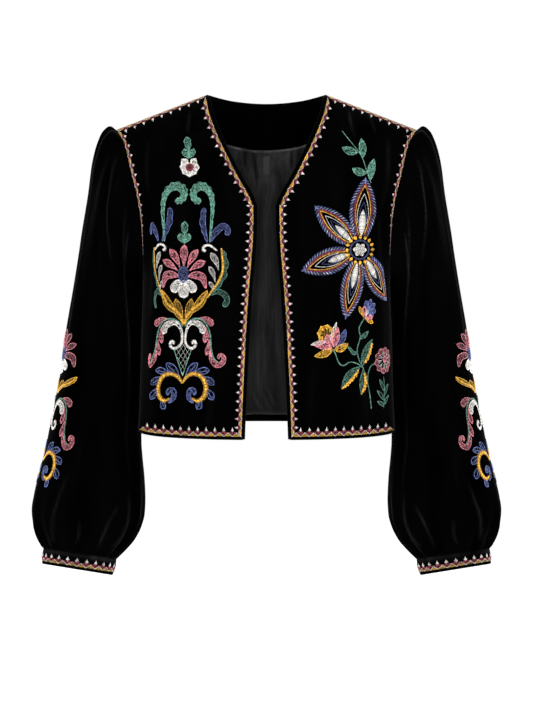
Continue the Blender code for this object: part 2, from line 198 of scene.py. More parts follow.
# name, place, size in metres, watts
LAMPS = (
    ("front_left", (-1.5, -2.2, 1.3), 1.2, 14),
    ("front_right", (1.8, -1.8, 0.7), 1.2, 9),
    ("behind_left", (-1.5, 0.9, 0.5), 0.8, 30),
    ("behind_right", (1.5, 0.9, 0.5), 0.8, 30),
)
for name, place, size, watts in LAMPS:
    lamp = bpy.data.lights.new(name, "AREA")
    lamp.shape = "SQUARE"
    lamp.size = size
    lamp.energy = watts
    lamp_object = bpy.data.objects.new(name, lamp)
    away = np.array(place) - AIM
    lamp_object.location = place
    flat = np.hypot(away[0], away[1])
    lamp_object.rotation_euler = (np.arctan2(flat, away[2]), 0, np.arctan2(away[0], -away[1]))
    scene.collection.objects.link(lamp_object)
print(len(LAMPS), "lamps")

# %% [markdown]
# ## Velvet
# Velvet is a forest of short upright fibres: it swallows light seen from above and glows where
# it turns away. A nearly black base with a sheen gives that. Slow noise stands for places where
# the pile is brushed, and fine noise for the fibres. Along a crease the pile is pressed flat; its
# sheen there is painted into the base colour as a lighter tone, and the shells carry a number for
# it. Real hairs would need millions of strands for the same look.

# %% Velvet
STREAK = (1, 1, 0.12)
BRUSH_SCALE, SHEEN_PATCH_SCALE, PILE_SCALE, FIBRE_SCALE = 26.0, 70.0, 60.0, 1800.0
VELVET_TONES = (0.0003, 0.0003, 0.0003), (0.0012, 0.0012, 0.0013)
# how many times lighter the base colour is painted where the pile is fully crushed: painted sheen
PAINTED_SHEEN_GAIN = 16.0

velvet, tree, shader = new_material(
    "black_velvet",
    Specular_IOR_Level=0.0,
    Sheen_Weight=0.05,
    Sheen_Roughness=0.25,
    Sheen_Tint=(0.92, 0.93, 0.95, 1),
)
brushed = two_tone(tree, noise(tree, BRUSH_SCALE, STREAK, 3.0), *VELVET_TONES)
# painted sheen: along crushed creases, patchily, the base colour is painted lighter
patchy = spread(tree, noise(tree, SHEEN_PATCH_SCALE, STREAK), 0.25, 1.0)
painted_light_amount = product(tree, carried(tree, "crush_and_painted_light"), patchy)
lighter = remapped(tree, painted_light_amount, (0, 1), (1, PAINTED_SHEEN_GAIN))
tree.links.new(scaled(tree, brushed, lighter), shader.inputs["Base Color"])
tree.links.new(spread(tree, noise(tree, PILE_SCALE, STREAK), 0.62, 0.90), shader.inputs["Roughness"])
bump(tree, shader, noise(tree, FIBRE_SCALE, STREAK), 0.0006, 0.35)
print("velvet:", velvet.name)

# %% [markdown]
# ## Satin and tape
# Satin is smooth, with streaks along its threads, and broad darker folds painted in as shade by a
# slow noise. The lining's rolled upper edge gets a painted highlight; its creases and its lower end
# get painted shade, and the cloth near the fronts their painted shadow. A number on the shells runs
# above and below zero for that, and the height gives the lower end. Painting the shades by hand
# would do it too, but they would not follow a change of the folds. The label is a ribbed tape, so a
# wave makes its ribs.

# %% Satin and tape
SATIN_TONES = (0.035, 0.035, 0.037), (0.061, 0.061, 0.065)
SATIN_STREAK, PAINTED_FOLD_STRETCH, SATIN_WEAVE = (1, 1, 0.03), (1, 1, 0.16), (1, 1, 0.1)
# how the shells' number turns into painted light on the lining, and where painted shade deepens towards
# the hem
PAINTED_LIGHT_RANGE, PAINTED_LIGHT_FACTOR = (-0.45, 1.0), (0.1, 3.0)
HEM_SHADE_DARKEST_Z, HEM_SHADE_END_Z = -0.42, -0.34
TAPE_TONES = (0.055, 0.055, 0.055), (0.135, 0.135, 0.135)

satin, tree, shader = new_material(
    "dark_satin", Specular_IOR_Level=0.13, Sheen_Weight=0.1, Sheen_Roughness=0.4, Anisotropic=0.4
)
streaks = noise(tree, 420.0, SATIN_STREAK, 3.0)
# painted shade of broad folds: a slow upright noise darkens and lightens the base colour
painted_fold_shade = spread(tree, noise(tree, 46.0, PAINTED_FOLD_STRETCH), 0.35, 1.5)
woven = two_tone(tree, streaks, *SATIN_TONES)
# painted highlight on the rolled edge, painted shade in the creases and the fronts' painted shadow
painted_lining_light = remapped(tree, carried(tree, "crush_and_painted_light"), PAINTED_LIGHT_RANGE, PAINTED_LIGHT_FACTOR)
# painted shade deepening towards the hem, then all the painted light and shade together
height = add_node(tree, "ShaderNodeSeparateXYZ", {"Vector": object_place(tree)}).outputs["Z"]
painted_hem_shade = remapped(tree, height, (HEM_SHADE_DARKEST_Z, HEM_SHADE_END_Z), (0.1, 1.0))
light = product(tree, product(tree, painted_fold_shade, painted_lining_light), painted_hem_shade)
tree.links.new(scaled(tree, woven, light), shader.inputs["Base Color"])
tree.links.new(spread(tree, streaks, 0.36, 0.50), shader.inputs["Roughness"])
bump(tree, shader, noise(tree, 2600.0, SATIN_WEAVE), 0.0003, 0.25)

tape, tree, shader = new_material("label_tape", Specular_IOR_Level=0.2, Sheen_Weight=0.1)
sockets = {"Vector": object_place(tree), "Scale": 420.0, "Distortion": 0.6}
ribs = add_node(tree, "ShaderNodeTexWave", sockets, bands_direction="Z").outputs["Fac"]
tree.links.new(two_tone(tree, ribs, *TAPE_TONES), shader.inputs["Base Color"])
tree.links.new(spread(tree, noise(tree, 900.0), 0.6, 0.8), shader.inputs["Roughness"])
bump(tree, shader, ribs, 0.0003, 0.5)
print("lining and label:", satin.name, tape.name)

# %% [markdown]
# ## The cut of the jacket
# The shells follow the same form as the solids, so the same sizes come first: body sections,
# armhole, neckline and front edge, each a short table. A curve that never overshoots runs
# through every table, which lets the shells sample the form as finely as they like. Subdividing
# the solids would be quicker, but it rounds off the corners of the neck and the hem.

# %% Sizes of the cut
WALL = 0.0022
NECK_HALF, TIP_X, SHOULDER_SLOPE = 0.0765, 0.1944, 0.385
TIP_Z = -SHOULDER_SLOPE * (TIP_X - NECK_HALF)
V_BOTTOM_Z, UNDERARM_Z, HEM_Z = -0.1400, -0.2400, -0.4350
FRONT_GAP_TOP, FRONT_GAP_HEM = 0.0128, 0.0283
BACK_NECK_DROP, BACK_NECK_DEPTH, BACK_NECK_ROUND = 0.0120, 0.0500, 0.8
SECTION_POWER = 2.3
ROLL_DROP, SHOULDER_ROLL, BACK_NECK_ROLL = 0.200, 0.60, 0.95
SEAM = 0.0003


def table(names, *rows):
    """A short table as one array for each named column."""
    return dict(zip(names.split(), np.array(rows, float).T))


BODY = table(
    "z half_width front_depth back_depth widest_y",
    (HEM_Z, 0.1675, 0.099, 0.102, -0.010),
    (-0.3750, 0.1645, 0.103, 0.104, -0.011),
    (-0.3000, 0.1620, 0.107, 0.109, -0.012),
    (-0.2400, 0.1600, 0.108, 0.112, -0.012),
    (-0.1700, 0.1850, 0.106, 0.114, -0.012),
    (-0.1000, 0.2200, 0.101, 0.112, -0.012),
    (-0.0450, 0.2500, 0.095, 0.108, -0.012),
    (0.0400, 0.2700, 0.090, 0.104, -0.012),
)
ARMHOLE = table(
    "z front_x back_x",
    (UNDERARM_Z, 0.1600, 0.1600),
    (-0.2300, 0.1586, 0.1580),
    (-0.2050, 0.1578, 0.1580),
    (-0.1670, 0.1592, 0.1620),
    (-0.1350, 0.1636, 0.1680),
    (-0.1030, 0.1717, 0.1740),
    (-0.0620, 0.1834, 0.1850),
    (TIP_Z, TIP_X, TIP_X),
)
NECKLINE = table(
    "z x",
    (V_BOTTOM_Z, FRONT_GAP_TOP),
    (-0.1310, 0.0159),
    (-0.1200, 0.0214),
    (-0.1080, 0.0287),
    (-0.0775, 0.0450),
    (-0.0470, 0.0595),
    (-0.0220, 0.0692),
    (-0.0040, 0.0738),
    (0.0000, NECK_HALF),
)
FRONT_EDGE = table(
    "z x",
    (HEM_Z, FRONT_GAP_HEM),
    (-0.3920, 0.0267),
    (-0.3150, 0.0229),
    (-0.2540, 0.0192),
    (-0.2230, 0.0167),
    (-0.1930, 0.0142),
    (-0.1650, 0.0129),
    (V_BOTTOM_Z, FRONT_GAP_TOP),
)
print(f"neck point to hem {-HEM_Z * 1000:.0f} mm, shoulder tips {2 * TIP_X * 1000:.0f} mm apart")


# %% The body's form
def through(known, values, at):
    """A smooth curve through a table's points that never overshoots them."""
    if known[0] > known[-1]:
        known, values = known[::-1], values[::-1]
    run = np.diff(known)
    slope = np.diff(values) / run
    both = slope[:-1] * slope[1:]
    total = slope[:-1] + slope[1:]
    middle = np.divide(2 * both, total, out=np.zeros_like(both), where=both > 0)
    tangent = np.concatenate([slope[:1], middle, slope[-1:]])
    at = np.clip(at, known[0], known[-1])
    i = np.clip(np.searchsorted(known, at) - 1, 0, len(run) - 1)
    t = (at - known[i]) / run[i]
    rise = values[i] + run[i] * t * (1 - t) ** 2 * tangent[i]
    rise = rise + (values[i + 1] - values[i]) * t**2 * (3 - 2 * t)
    return rise - run[i] * t**2 * (1 - t) * tangent[i + 1]


def half_width(z):
    return through(BODY["z"], BODY["half_width"], z)


def shoulder_z(x):
    """Height of the shoulder seam at a distance from the centre."""
    return -SHOULDER_SLOPE * (np.abs(x) - NECK_HALF)


def top_of_back(x):
    """Height of the back's upper edge: the neckline between the neck points, then the shoulder."""
    neck = -BACK_NECK_DROP * np.clip(1 - (x / NECK_HALF) ** 2, 0, 1)
    return np.where(np.abs(x) < NECK_HALF, neck, shoulder_z(x))


def body_y(x, z, side):
    """Depth of the body's outer surface, with side -1 on the front and 1 on the back."""
    x = np.abs(x)
    depth = BODY["front_depth"] if side < 0 else BODY["back_depth"]
    share = np.minimum(x / half_width(z), 1.0)
    bulge = (1 - share**SECTION_POWER) ** (1 / SECTION_POWER)
    full = through(BODY["z"], BODY["widest_y"], z) + side * bulge * through(BODY["z"], depth, z)
    top_z, top_y, power = shoulder_z(x), 0.0, SHOULDER_ROLL
    if side > 0:
        within = np.clip(1 - (x / NECK_HALF) ** 2, 0, 1)
        top_z = top_of_back(x)
        top_y = BACK_NECK_DEPTH * within**BACK_NECK_ROUND
        power = SHOULDER_ROLL + (BACK_NECK_ROLL - SHOULDER_ROLL) * within
    drop = np.clip((top_z - z) / ROLL_DROP, 0, 1)
    return top_y + (full - top_y) * np.sin(np.pi / 2 * drop**power)


print(f"chest depth {(body_y(0.0, UNDERARM_Z, 1) - body_y(0.0, UNDERARM_Z, -1)) * 1000:.0f} mm")

# %% [markdown]
# ## Creases set one by one
# Worn velvet has few creases, each of its own length and depth: a soft ridge with a shallower
# trough beside it, fading at both ends. A table row gives where one starts and ends, how far it
# bows, how high it stands, how wide it is and how far it crushed the pile, which is painted on as
# light: a painted sheen on the velvet, and painted shade in the lining. Reading the rows on the
# flat place of every point keeps the shell, its inside and the stitches on it together. A cloth
# simulation could crease the jacket too, but not where the real one is creased.

# %% Crease helper
TROUGH_SHARE, TROUGH_SHIFT, PAINTED_LIGHT_SHARE = 0.55, 1.7, 0.42
# the last column is how strongly light is painted along a crease: sheen on velvet, shade in the lining
CREASE_COLUMNS = "from_a from_b to_a to_b height width bow crush"


def crease_lines(rows, a, b):
    """For each crease: its height and crush, how it fades to its ends, and the widths across it."""
    for a0, b0, a1, b1, high, width, bow, painted_light_strength in zip(*rows.values()):
        run = np.hypot(a1 - a0, b1 - b0)
        along = ((a - a0) * (a1 - a0) + (b - b0) * (b1 - b0)) / run**2
        fade = np.clip(4 * along * (1 - along), 0, 1)
        across = ((a - a0) * (b1 - b0) - (b - b0) * (a1 - a0)) / run - bow * fade
        yield high, painted_light_strength, fade**0.7, across / width


def creases(rows, a, b):
    """Height of all the creases of a table at places a, b, in the table's own units."""
    height = np.zeros_like(a)
    for high, _, fade, across in crease_lines(rows, a, b):
        ridge, trough = np.exp(-(across**2)), np.exp(-((across - TROUGH_SHIFT) ** 2))
        height = height + high * fade * (ridge - TROUGH_SHARE * trough)
    return height


def painted_crease_light(rows, a, b):
    """How strongly light is painted along the creases, from 0 to 1: sheen where velvet pile is pressed
    flat, shade in the lining's creases.
    """
    painted_light_amount = np.zeros_like(a)
    for _, painted_light_strength, fade, across in crease_lines(rows, a, b):
        painted_light_amount = np.maximum(painted_light_amount, painted_light_strength * fade * np.exp(-((across / PAINTED_LIGHT_SHARE) ** 2)))
    return painted_light_amount


print("a crease:", CREASE_COLUMNS)

# %% Creases of the fronts and the back
FRONT_CREASES = {
    "left": table(
        CREASE_COLUMNS,
        (0.105, -0.020, 0.112, -0.056, 0.0012, 0.0045, 0.001, 0.6),
        (0.131, -0.026, 0.139, -0.050, 0.0010, 0.0040, 0.000, 0.6),
        (0.154, -0.055, 0.143, -0.150, 0.0020, 0.0065, -0.004, 0.35),
        (0.141, -0.148, 0.149, -0.232, 0.0018, 0.0060, 0.003, 0.35),
        (0.147, -0.240, 0.151, -0.415, 0.0020, 0.0080, -0.002, 0.1),
        (0.120, -0.300, 0.131, -0.425, 0.0012, 0.0090, 0.003, 0.1),
        (0.060, -0.330, 0.052, -0.430, 0.0010, 0.0100, 0.000, 0.1),
    ),
    "right": table(
        CREASE_COLUMNS,
        (0.098, -0.022, 0.101, -0.050, 0.0011, 0.0045, 0.001, 0.6),
        (0.150, -0.060, 0.146, -0.140, 0.0018, 0.0060, -0.003, 0.35),
        (0.143, -0.160, 0.150, -0.290, 0.0020, 0.0065, 0.003, 0.35),
        (0.149, -0.270, 0.147, -0.420, 0.0016, 0.0075, -0.002, 0.1),
        (0.070, -0.345, 0.074, -0.432, 0.0010, 0.0110, 0.002, 0.1),
        (0.128, -0.325, 0.122, -0.428, 0.0011, 0.0085, 0.000, 0.1),
    ),
}
BACK_CREASES = table(
    CREASE_COLUMNS,
    (-0.120, -0.070, -0.138, -0.190, 0.0020, 0.0090, 0.006, 0.1),
    (0.116, -0.075, 0.140, -0.180, 0.0022, 0.0080, -0.005, 0.1),
    (-0.060, -0.250, -0.078, -0.430, 0.0022, 0.0120, 0.004, 0.1),
    (0.048, -0.270, 0.060, -0.430, 0.0020, 0.0130, -0.003, 0.1),
    (0.110, -0.240, 0.124, -0.420, 0.0024, 0.0110, 0.004, 0.1),
    (-0.128, -0.260, -0.118, -0.400, 0.0018, 0.0100, -0.002, 0.1),
    (0.000, -0.300, -0.012, -0.432, 0.0014, 0.0120, 0.002, 0.1),
    (-0.050, -0.062, 0.046, -0.066, 0.0010, 0.0080, 0.003, 0.1),
)
print("creases:", *(len(t["width"]) for t in (*FRONT_CREASES.values(), BACK_CREASES)))

# %% [markdown]
# ## Points on the cloth
# A front lies between the neckline and front edge on one side and the armhole and side seam on
# the other. Everything sewn on it needs two things at a place x, z: the point on the outer face,
# creases included, and the way that face looks. One function gives both, for the fronts and for
# the back. A ray cast on the finished mesh would give them too, in steps of its triangles.

# %% Places on the fronts and the back
NUDGE = 1e-4


def unit(vectors):
    return vectors / np.linalg.norm(vectors, axis=-1, keepdims=True)


def body_cloth(x, z, side, relief, lift=0.0):
    """Points lifted off a body panel's outer face, and the face's normals."""
    slope_x = (body_y(x + NUDGE, z, side) - body_y(x - NUDGE, z, side)) / (2 * NUDGE)
    slope_z = (body_y(x, z + NUDGE, side) - body_y(x, z - NUDGE, side)) / (2 * NUDGE)
    normal = side * unit(np.stack([-slope_x, np.ones_like(slope_x), -slope_z], axis=-1))
    flat = np.stack([x, body_y(x, z, side) + side * SEAM / 2, z], axis=-1)
    return flat + normal * (creases(relief, x, z) + lift)[..., None], normal


def edge_of_front(z):
    """The front panel's inner edge at a height: the neckline, then the front edge."""
    edge = through(FRONT_EDGE["z"], FRONT_EDGE["x"], z)
    return np.where(z > V_BOTTOM_Z, through(NECKLINE["z"], NECKLINE["x"], z), edge)


def side_of_panel(z, side):
    """A panel's outer edge at a height: the armhole, then the side seam."""
    armhole = through(ARMHOLE["z"], ARMHOLE["front_x" if side < 0 else "back_x"], z)
    return np.where(z < UNDERARM_Z, half_width(z), armhole)


print("front edge at the hem:", edge_of_front(np.array(HEM_Z)), "m from the centre")

# %% [markdown]
# ## Cloth shells
# A shell is two grids of points, outside and inside, joined round the edges by a rolled lip. A
# Solidify modifier could do that too, but then the inside could not have its own finish and
# folds, and the lip would be square.

# %% Shell helper
LIP = 0.0011


def open_edges(index, tube):
    """Loops of points along a grid's open edges, each with the points one step behind them."""
    if tube:
        rims = (index[0, ::-1], index[1, ::-1]), (index[-1], index[-2])
        return [(edge[:-1], behind[:-1]) for edge, behind in rims]
    edge = [index[0, ::-1], index[1:, 0], index[-1, 1:], index[-2:0:-1, -1]]
    behind = [index[1, ::-1], index[1:, 1], index[-2, 1:], index[-2:0:-1, -2]]
    return [(np.concatenate(edge), np.concatenate(behind))]


def shell(name, outer, inner, finishes, tube=False, mirrored=False, crush_and_painted_light=None):
    """A closed cloth wall with one finish outside and on its lip, and one inside."""
    rows, columns = outer.shape[:2]
    index = np.arange(rows * columns).reshape(rows, columns)
    if tube:
        index = np.concatenate([index, index[:, :1]], axis=1)
    quads = np.stack([index[:-1, :-1], index[1:, :-1], index[1:, 1:], index[:-1, 1:]], axis=-1)
    quads = quads.reshape(-1, 4)
    inside = rows * columns
    points = [outer.reshape(-1, 3), inner.reshape(-1, 3)]
    faces = [quads, quads[:, ::-1] + inside]
    finish = [np.zeros(len(quads), int), np.ones(len(quads), int)]
    count = 2 * inside
    for edge, behind in open_edges(index, tube):
        outwards = unit(points[0][edge] - points[0][behind])
        points.append((points[0][edge] + points[1][edge]) / 2 + LIP * outwards)
        lip = np.arange(len(edge)) + count
        count += len(edge)
        following = np.roll(np.arange(len(edge)), -1)
        faces.append(np.stack([edge[following], edge, lip, lip[following]], axis=-1))
        faces.append(np.stack([lip[following], lip, edge + inside, edge[following] + inside], axis=-1))
        finish += [np.zeros(2 * len(edge), int)]

    points, faces = np.concatenate(points), np.concatenate(faces)
    if mirrored:
        points = points * (-1, 1, 1)
    corners = points[faces]
    if (np.linalg.det(corners[:, :3]) + np.linalg.det(corners[:, (0, 2, 3)])).sum() < 0:
        faces = faces[:, ::-1]
    mesh = bpy.data.meshes.new(name)
    mesh.from_pydata(points.tolist(), [], faces.tolist())
    for material in finishes:
        mesh.materials.append(material)
    if len(finishes) > 1:
        mesh.polygons.foreach_set("material_index", np.concatenate(finish).astype(np.int32))
    # the points carry the painted light: sheen along crushed velvet creases, highlight and shade on the
    # lining
    if crush_and_painted_light is not None:
        painted_light_amount = np.zeros(len(points), np.float32)
        painted_light_amount[: 2 * inside] = np.tile(crush_and_painted_light.ravel(), 2)
        mesh.attributes.new("crush_and_painted_light", "FLOAT", "POINT").data.foreach_set("value", painted_light_amount)
    mesh.shade_smooth()
    piece = bpy.data.objects.new(name, mesh)
    scene.collection.objects.link(piece)
    print(f"{name}: {2 * len(faces)} triangles")
    return piece


pieces = {}
print(f"cloth {WALL * 1000:.1f} mm thick, with a lip of {LIP * 1000:.1f} mm")

# %% [markdown]
# ## The two fronts
# Each front is one piece of velvet, lined. Rows run from the front edge to the side; they crowd
# towards the shoulder, where the cloth rolls over, and across a row the points crowd at the side,
# where the body turns away. A plane could be cut and sculpted to this form, but a grid worked out
# from the cut keeps both fronts alike.

# %% Fronts
FRONT_ROWS, FRONT_COLUMNS = 112, 88
ROWS_ABOVE, ROW_CROWD, UNDERARM_CROWD = 0.6, 1.6, 1.3


def even_share(share, first_x, last_x, z):
    """Share of the way across a row, spaced evenly round the body's curved side."""
    first, last = np.clip(first_x / half_width(z), 0, 1), np.clip(last_x / half_width(z), 0, 1)
    start, end = (np.arcsin(s ** (SECTION_POWER / 2)) for s in (first, last))
    here = np.sin(start + (end - start) * share) ** (2 / SECTION_POWER)
    return (here - first) / (last - first)


def front_places(down, across):
    """Where a front's grid lies: down 0 is the shoulder and 1 the hem, across 0 the front edge."""
    inner_z, outer_z = HEM_Z * down, TIP_Z + (HEM_Z - TIP_Z) * down
    inner_x, outer_x = edge_of_front(inner_z), side_of_panel(outer_z, -1)
    share = even_share(across, inner_x, outer_x, outer_z)
    return inner_x + (outer_x - inner_x) * share, inner_z + (outer_z - inner_z) * share


UNDERARM_SHARE = (UNDERARM_Z - TIP_Z) / (HEM_Z - TIP_Z)


def rows_down(count):
    """Rows from shoulder to hem, crowded at the shoulder, with one row right at the underarm."""
    above = int(ROWS_ABOVE * count)
    upper = np.linspace(0, 1, above + 1)
    upper = UNDERARM_SHARE * (1 - (1 - upper**ROW_CROWD) ** UNDERARM_CROWD)
    lower = np.linspace(UNDERARM_SHARE, 1, count - above + 1)
    return np.concatenate([upper, lower[1:]])[:, None]


down = rows_down(FRONT_ROWS)
across = np.linspace(0, 1, FRONT_COLUMNS + 1)[None, :]
for side in ("left", "right"):
    x, z = front_places(*np.broadcast_arrays(down, across))
    outer, _ = body_cloth(x, z, -1, FRONT_CREASES[side])
    inner, _ = body_cloth(x, z, -1, FRONT_CREASES[side], -WALL)
    # crushed pile along the creases, painted lighter as sheen
    painted_light_amount = painted_crease_light(FRONT_CREASES[side], x, z)
    pieces[f"front_{side}"] = shell(
        f"cloth_front_{side}", outer, inner, (velvet, satin), mirrored=side == "right", crush_and_painted_light=painted_light_amount
    )

# %% [markdown]
# ## The back
# The back is one plain piece of velvet. Nobody sees it in the picture, so it only gets the soft
# folds that a back of this cut has: two from the shoulder blades to the armholes and a few that
# drop to the hem. It is the same kind of grid as a front, from side to side.

# %% Back
BACK_ROWS, BACK_COLUMNS = 96, 104
NECK_SHARE = 4 / 11
NECK_FADE = 0.3


def back_places(down, across):
    """Where the back's grid lies: across -1 is the right side and 1 the left."""
    away = np.abs(across)
    side_z = TIP_Z + (HEM_Z - TIP_Z) * down
    side_x = side_of_panel(side_z, 1)
    at_top = np.interp(away, (0, NECK_SHARE, 1), (0, NECK_HALF / TIP_X, 1))
    rounded = even_share(away, 0.0 * side_x, side_x, side_z)
    x = side_x * (at_top + (rounded - at_top) * np.clip(down / NECK_FADE, 0, 1))
    top_z = top_of_back(TIP_X * at_top)
    return np.sign(across) * x, top_z + (HEM_Z - top_z) * down


down = rows_down(BACK_ROWS)
across = np.linspace(-1, 1, BACK_COLUMNS + 1)[None, :]
x, z = back_places(*np.broadcast_arrays(down, across))
outer, _ = body_cloth(x, z, 1, BACK_CREASES)
inner, _ = body_cloth(x, z, 1, BACK_CREASES, -WALL)
# crushed pile along the creases, painted lighter as sheen
painted_light_amount = painted_crease_light(BACK_CREASES, x, z)
pieces["back"] = shell("cloth_back", outer, inner, (velvet, velvet), crush_and_painted_light=painted_light_amount)

# %% [markdown]
# ## The sleeves
# A sleeve is a row of rings from the armhole to the cuff. It is much wider than the arm: gathered
# into the armhole over the shoulder, full below the elbow, and drawn into the cuff. The first
# rings keep part of the armhole's own curve, so the head swells out of the seam. A lofted curve
# would give such a tube as well, but no hold on the single gathers.

# %% Sleeve sizes
SLEEVE = table(
    "outer_x outer_z inner_x inner_z centre_y half_depth",
    (TIP_X, TIP_Z, 0.1600, UNDERARM_Z, -0.003, 0.062),
    (0.2020, -0.0420, 0.1596, -0.2415, -0.001, 0.063),
    (0.2098, -0.0480, 0.1594, -0.2440, 0.002, 0.063),
    (0.2176, -0.0640, 0.1594, -0.2485, 0.006, 0.062),
    (0.2259, -0.0910, 0.1595, -0.2560, 0.011, 0.060),
    (0.2327, -0.1302, 0.1598, -0.2690, 0.018, 0.058),
    (0.2400, -0.1696, 0.1604, -0.2880, 0.024, 0.056),
    (0.2466, -0.2092, 0.1602, -0.3120, 0.029, 0.054),
    (0.2550, -0.2560, 0.1600, -0.3380, 0.032, 0.053),
    (0.2645, -0.3084, 0.1607, -0.3660, 0.034, 0.053),
    (0.2729, -0.3678, 0.1627, -0.4000, 0.034, 0.054),
    (0.2851, -0.4272, 0.1660, -0.4452, 0.031, 0.056),
    (0.2915, -0.4612, 0.1640, -0.4754, 0.026, 0.058),
    (0.2991, -0.4924, 0.1614, -0.5032, 0.020, 0.059),
    (0.3060, -0.5234, 0.1603, -0.5290, 0.014, 0.059),
    (0.3084, -0.5428, 0.1615, -0.5494, 0.010, 0.057),
    (0.3055, -0.5621, 0.1659, -0.5645, 0.006, 0.052),
    (0.3001, -0.5775, 0.1752, -0.5819, 0.003, 0.044),
    (0.2958, -0.5880, 0.1864, -0.5952, 0.001, 0.034),
    (0.2934, -0.5931, 0.1974, -0.6071, 0.000, 0.0270),
)
LAST_RING = len(SLEEVE["outer_x"]) - 1
FORWARD_LEAN = table("ring lean", (13, 0.0), (16, 0.06), (19, 0.19))
ARMHOLE_HOLD = (1.0, 0.66, 0.40, 0.20, 0.07, 0.0)

SLEEVE_FOLDS = table(
    "angle first_ring last_ring depth width",
    (62, 5, 14, 0.0050, 13),
    (100, 4, 11, 0.0035, 15),
    (25, 3, 8, 0.0030, 12),
    (140, 7, 15, 0.0040, 14),
    (215, 5, 13, 0.0040, 15),
    (262, 6, 15, 0.0050, 14),
    (312, 4, 12, 0.0045, 13),
)
FOLD_TAPER = 1.5
HEAD_GATHERS, CUFF_GATHERS = 16, 16
HEAD_SPREAD, HEAD_FADE = 105, 4
SLOW_WANDER, QUICK_WANDER, UNEVEN = 0.06, 0.03, 0.25
HEAD_DEPTH = table("ring depth", (0, 0.0), (1, 0.0016), (3, 0.0026), (5, 0.0012), (8, 0.0))
CUFF_DEPTH = table("ring depth", (12, 0.0), (15, 0.0018), (17, 0.0034), (18, 0.0028), (19, 0.0010))
print(f"sleeve of {LAST_RING + 1} rings")

# %% [markdown]
# The gathers of a real sleeve are never alike, so their spacing and depth wander round the ring.
# The sleeve's own creases are listed in rings and degrees: long ones down the front and the
# outer side, short ones under the head, and a fan above the cuff.

# %% Sleeve creases
RING_MM, DEGREE_MM = 30.0, 1.0
SLEEVE_CREASES = table(
    CREASE_COLUMNS,
    (90, 28, 300, 33, 0.0018, 5.0, 5, 0.3),
    (38, 52, 170, 88, 0.0022, 3.6, 3, 0.8),
    (55, 90, 410, 142, 0.0022, 3.4, -10, 0.8),
    (60, 18, 190, 12, 0.0018, 4.0, 3, 0.3),
    (70, 104, 170, 112, 0.0014, 3.6, -3, 0.8),
    (300, 84, 430, 78, 0.0012, 5.0, 4, 0.05),
    (385, 66, 525, 50, 0.0020, 3.6, 3, 0.8),
    (425, 124, 528, 110, 0.0020, 3.4, 4, 0.8),
    (400, 138, 530, 130, 0.0018, 3.4, -3, 0.8),
    (450, 22, 540, 18, 0.0016, 4.0, 3, 0.3),
    (455, 84, 535, 80, 0.0016, 3.6, -2, 0.8),
    (60, -24, 250, -30, 0.0020, 6.0, -4, 0.3),
    (90, -62, 330, -74, 0.0022, 7.0, 5, 0.3),
    (180, -110, 460, -122, 0.0024, 7.0, -5, 0.3),
    (300, -46, 500, -40, 0.0018, 7.0, 4, 0.3),
    (410, -86, 545, -94, 0.0020, 6.0, -3, 0.3),
    (420, -150, 548, -146, 0.0018, 6.5, 3, 0.3),
    (140, 172, 350, 178, 0.0016, 7.0, 4, 0.3),
)
print(len(SLEEVE_CREASES["width"]), "creases on each sleeve")


# %% The sleeve's form
def armhole_seam(angle):
    """The armhole, from the shoulder tip down the front and up the back."""
    share = (1 - np.cos(angle)) / 2
    z = TIP_Z + (UNDERARM_Z - TIP_Z) * share
    on_front = np.sin(angle) >= 0
    x = np.where(on_front, side_of_panel(z, -1), side_of_panel(z, 1))
    y = np.where(on_front, body_y(x, z, -1), body_y(x, z, 1))
    return np.stack([x + SEAM, y, z], axis=-1)


def across_ring(outer, inner, angle):
    """From a ring's outer line, at angle 0, to its inner line, at half a turn."""
    return (outer + inner) / 2 + (outer - inner) / 2 * np.cos(angle)


def ring_point(ring, angle):
    """Plain ring: angle 0 is the outer line, a quarter turn the front, a half the inner line."""
    count = np.arange(LAST_RING + 1.0)
    at = {name: through(count, column, ring) for name, column in SLEEVE.items()}
    x = across_ring(at["outer_x"], at["inner_x"], angle)
    z = across_ring(at["outer_z"], at["inner_z"], angle)
    forward = at["half_depth"] * np.sin(angle)
    lift = forward * through(FORWARD_LEAN["ring"], FORWARD_LEAN["lean"], ring)
    return np.stack([x, at["centre_y"] - forward, z + lift], axis=-1)


def plain_sleeve(ring, angle):
    """The sleeve without gathers and folds, led out of the armhole."""
    hold = through(np.arange(len(ARMHOLE_HOLD)), np.array(ARMHOLE_HOLD), ring)
    pull = armhole_seam(angle) - ring_point(0 * ring, angle)
    return ring_point(ring, angle) + hold[..., None] * pull


print("sleeve starts at", plain_sleeve(np.array(0.0), np.array(0.0)))

# %% The sleeve's cloth
FORM_STEP = 0.02


def turn_between(angle, middle):
    """Degrees from one direction round the sleeve to another, the short way."""
    return (np.degrees(angle) - middle + 180) % 360 - 180


def sleeve_relief(ring, angle):
    """Height of gathers, folds and creases together."""
    wander = angle + SLOW_WANDER * np.sin(3 * angle + 1) + QUICK_WANDER * np.sin(7 * angle)
    uneven = 1 - UNEVEN + UNEVEN * np.sin(5 * angle + 0.7)
    away = np.abs(turn_between(angle, 0)) / HEAD_SPREAD
    head = through(HEAD_DEPTH["ring"], HEAD_DEPTH["depth"], ring)
    head = head * uneven * np.sin(HEAD_GATHERS * wander) * np.clip(1 - away**HEAD_FADE, 0, 1)
    cuff = through(CUFF_DEPTH["ring"], CUFF_DEPTH["depth"], ring)
    height = head + cuff * uneven * np.cos(CUFF_GATHERS * wander)
    for middle, first, last, deep, width in zip(*SLEEVE_FOLDS.values()):
        along = np.clip((ring - first) / (last - first), 0, 1)
        across = np.exp(-((turn_between(angle, middle) / width) ** 2))
        height = height - deep * np.sin(np.pi * along) ** FOLD_TAPER * across
    return height + creases(SLEEVE_CREASES, ring * RING_MM, turn_between(angle, 0) * DEGREE_MM)


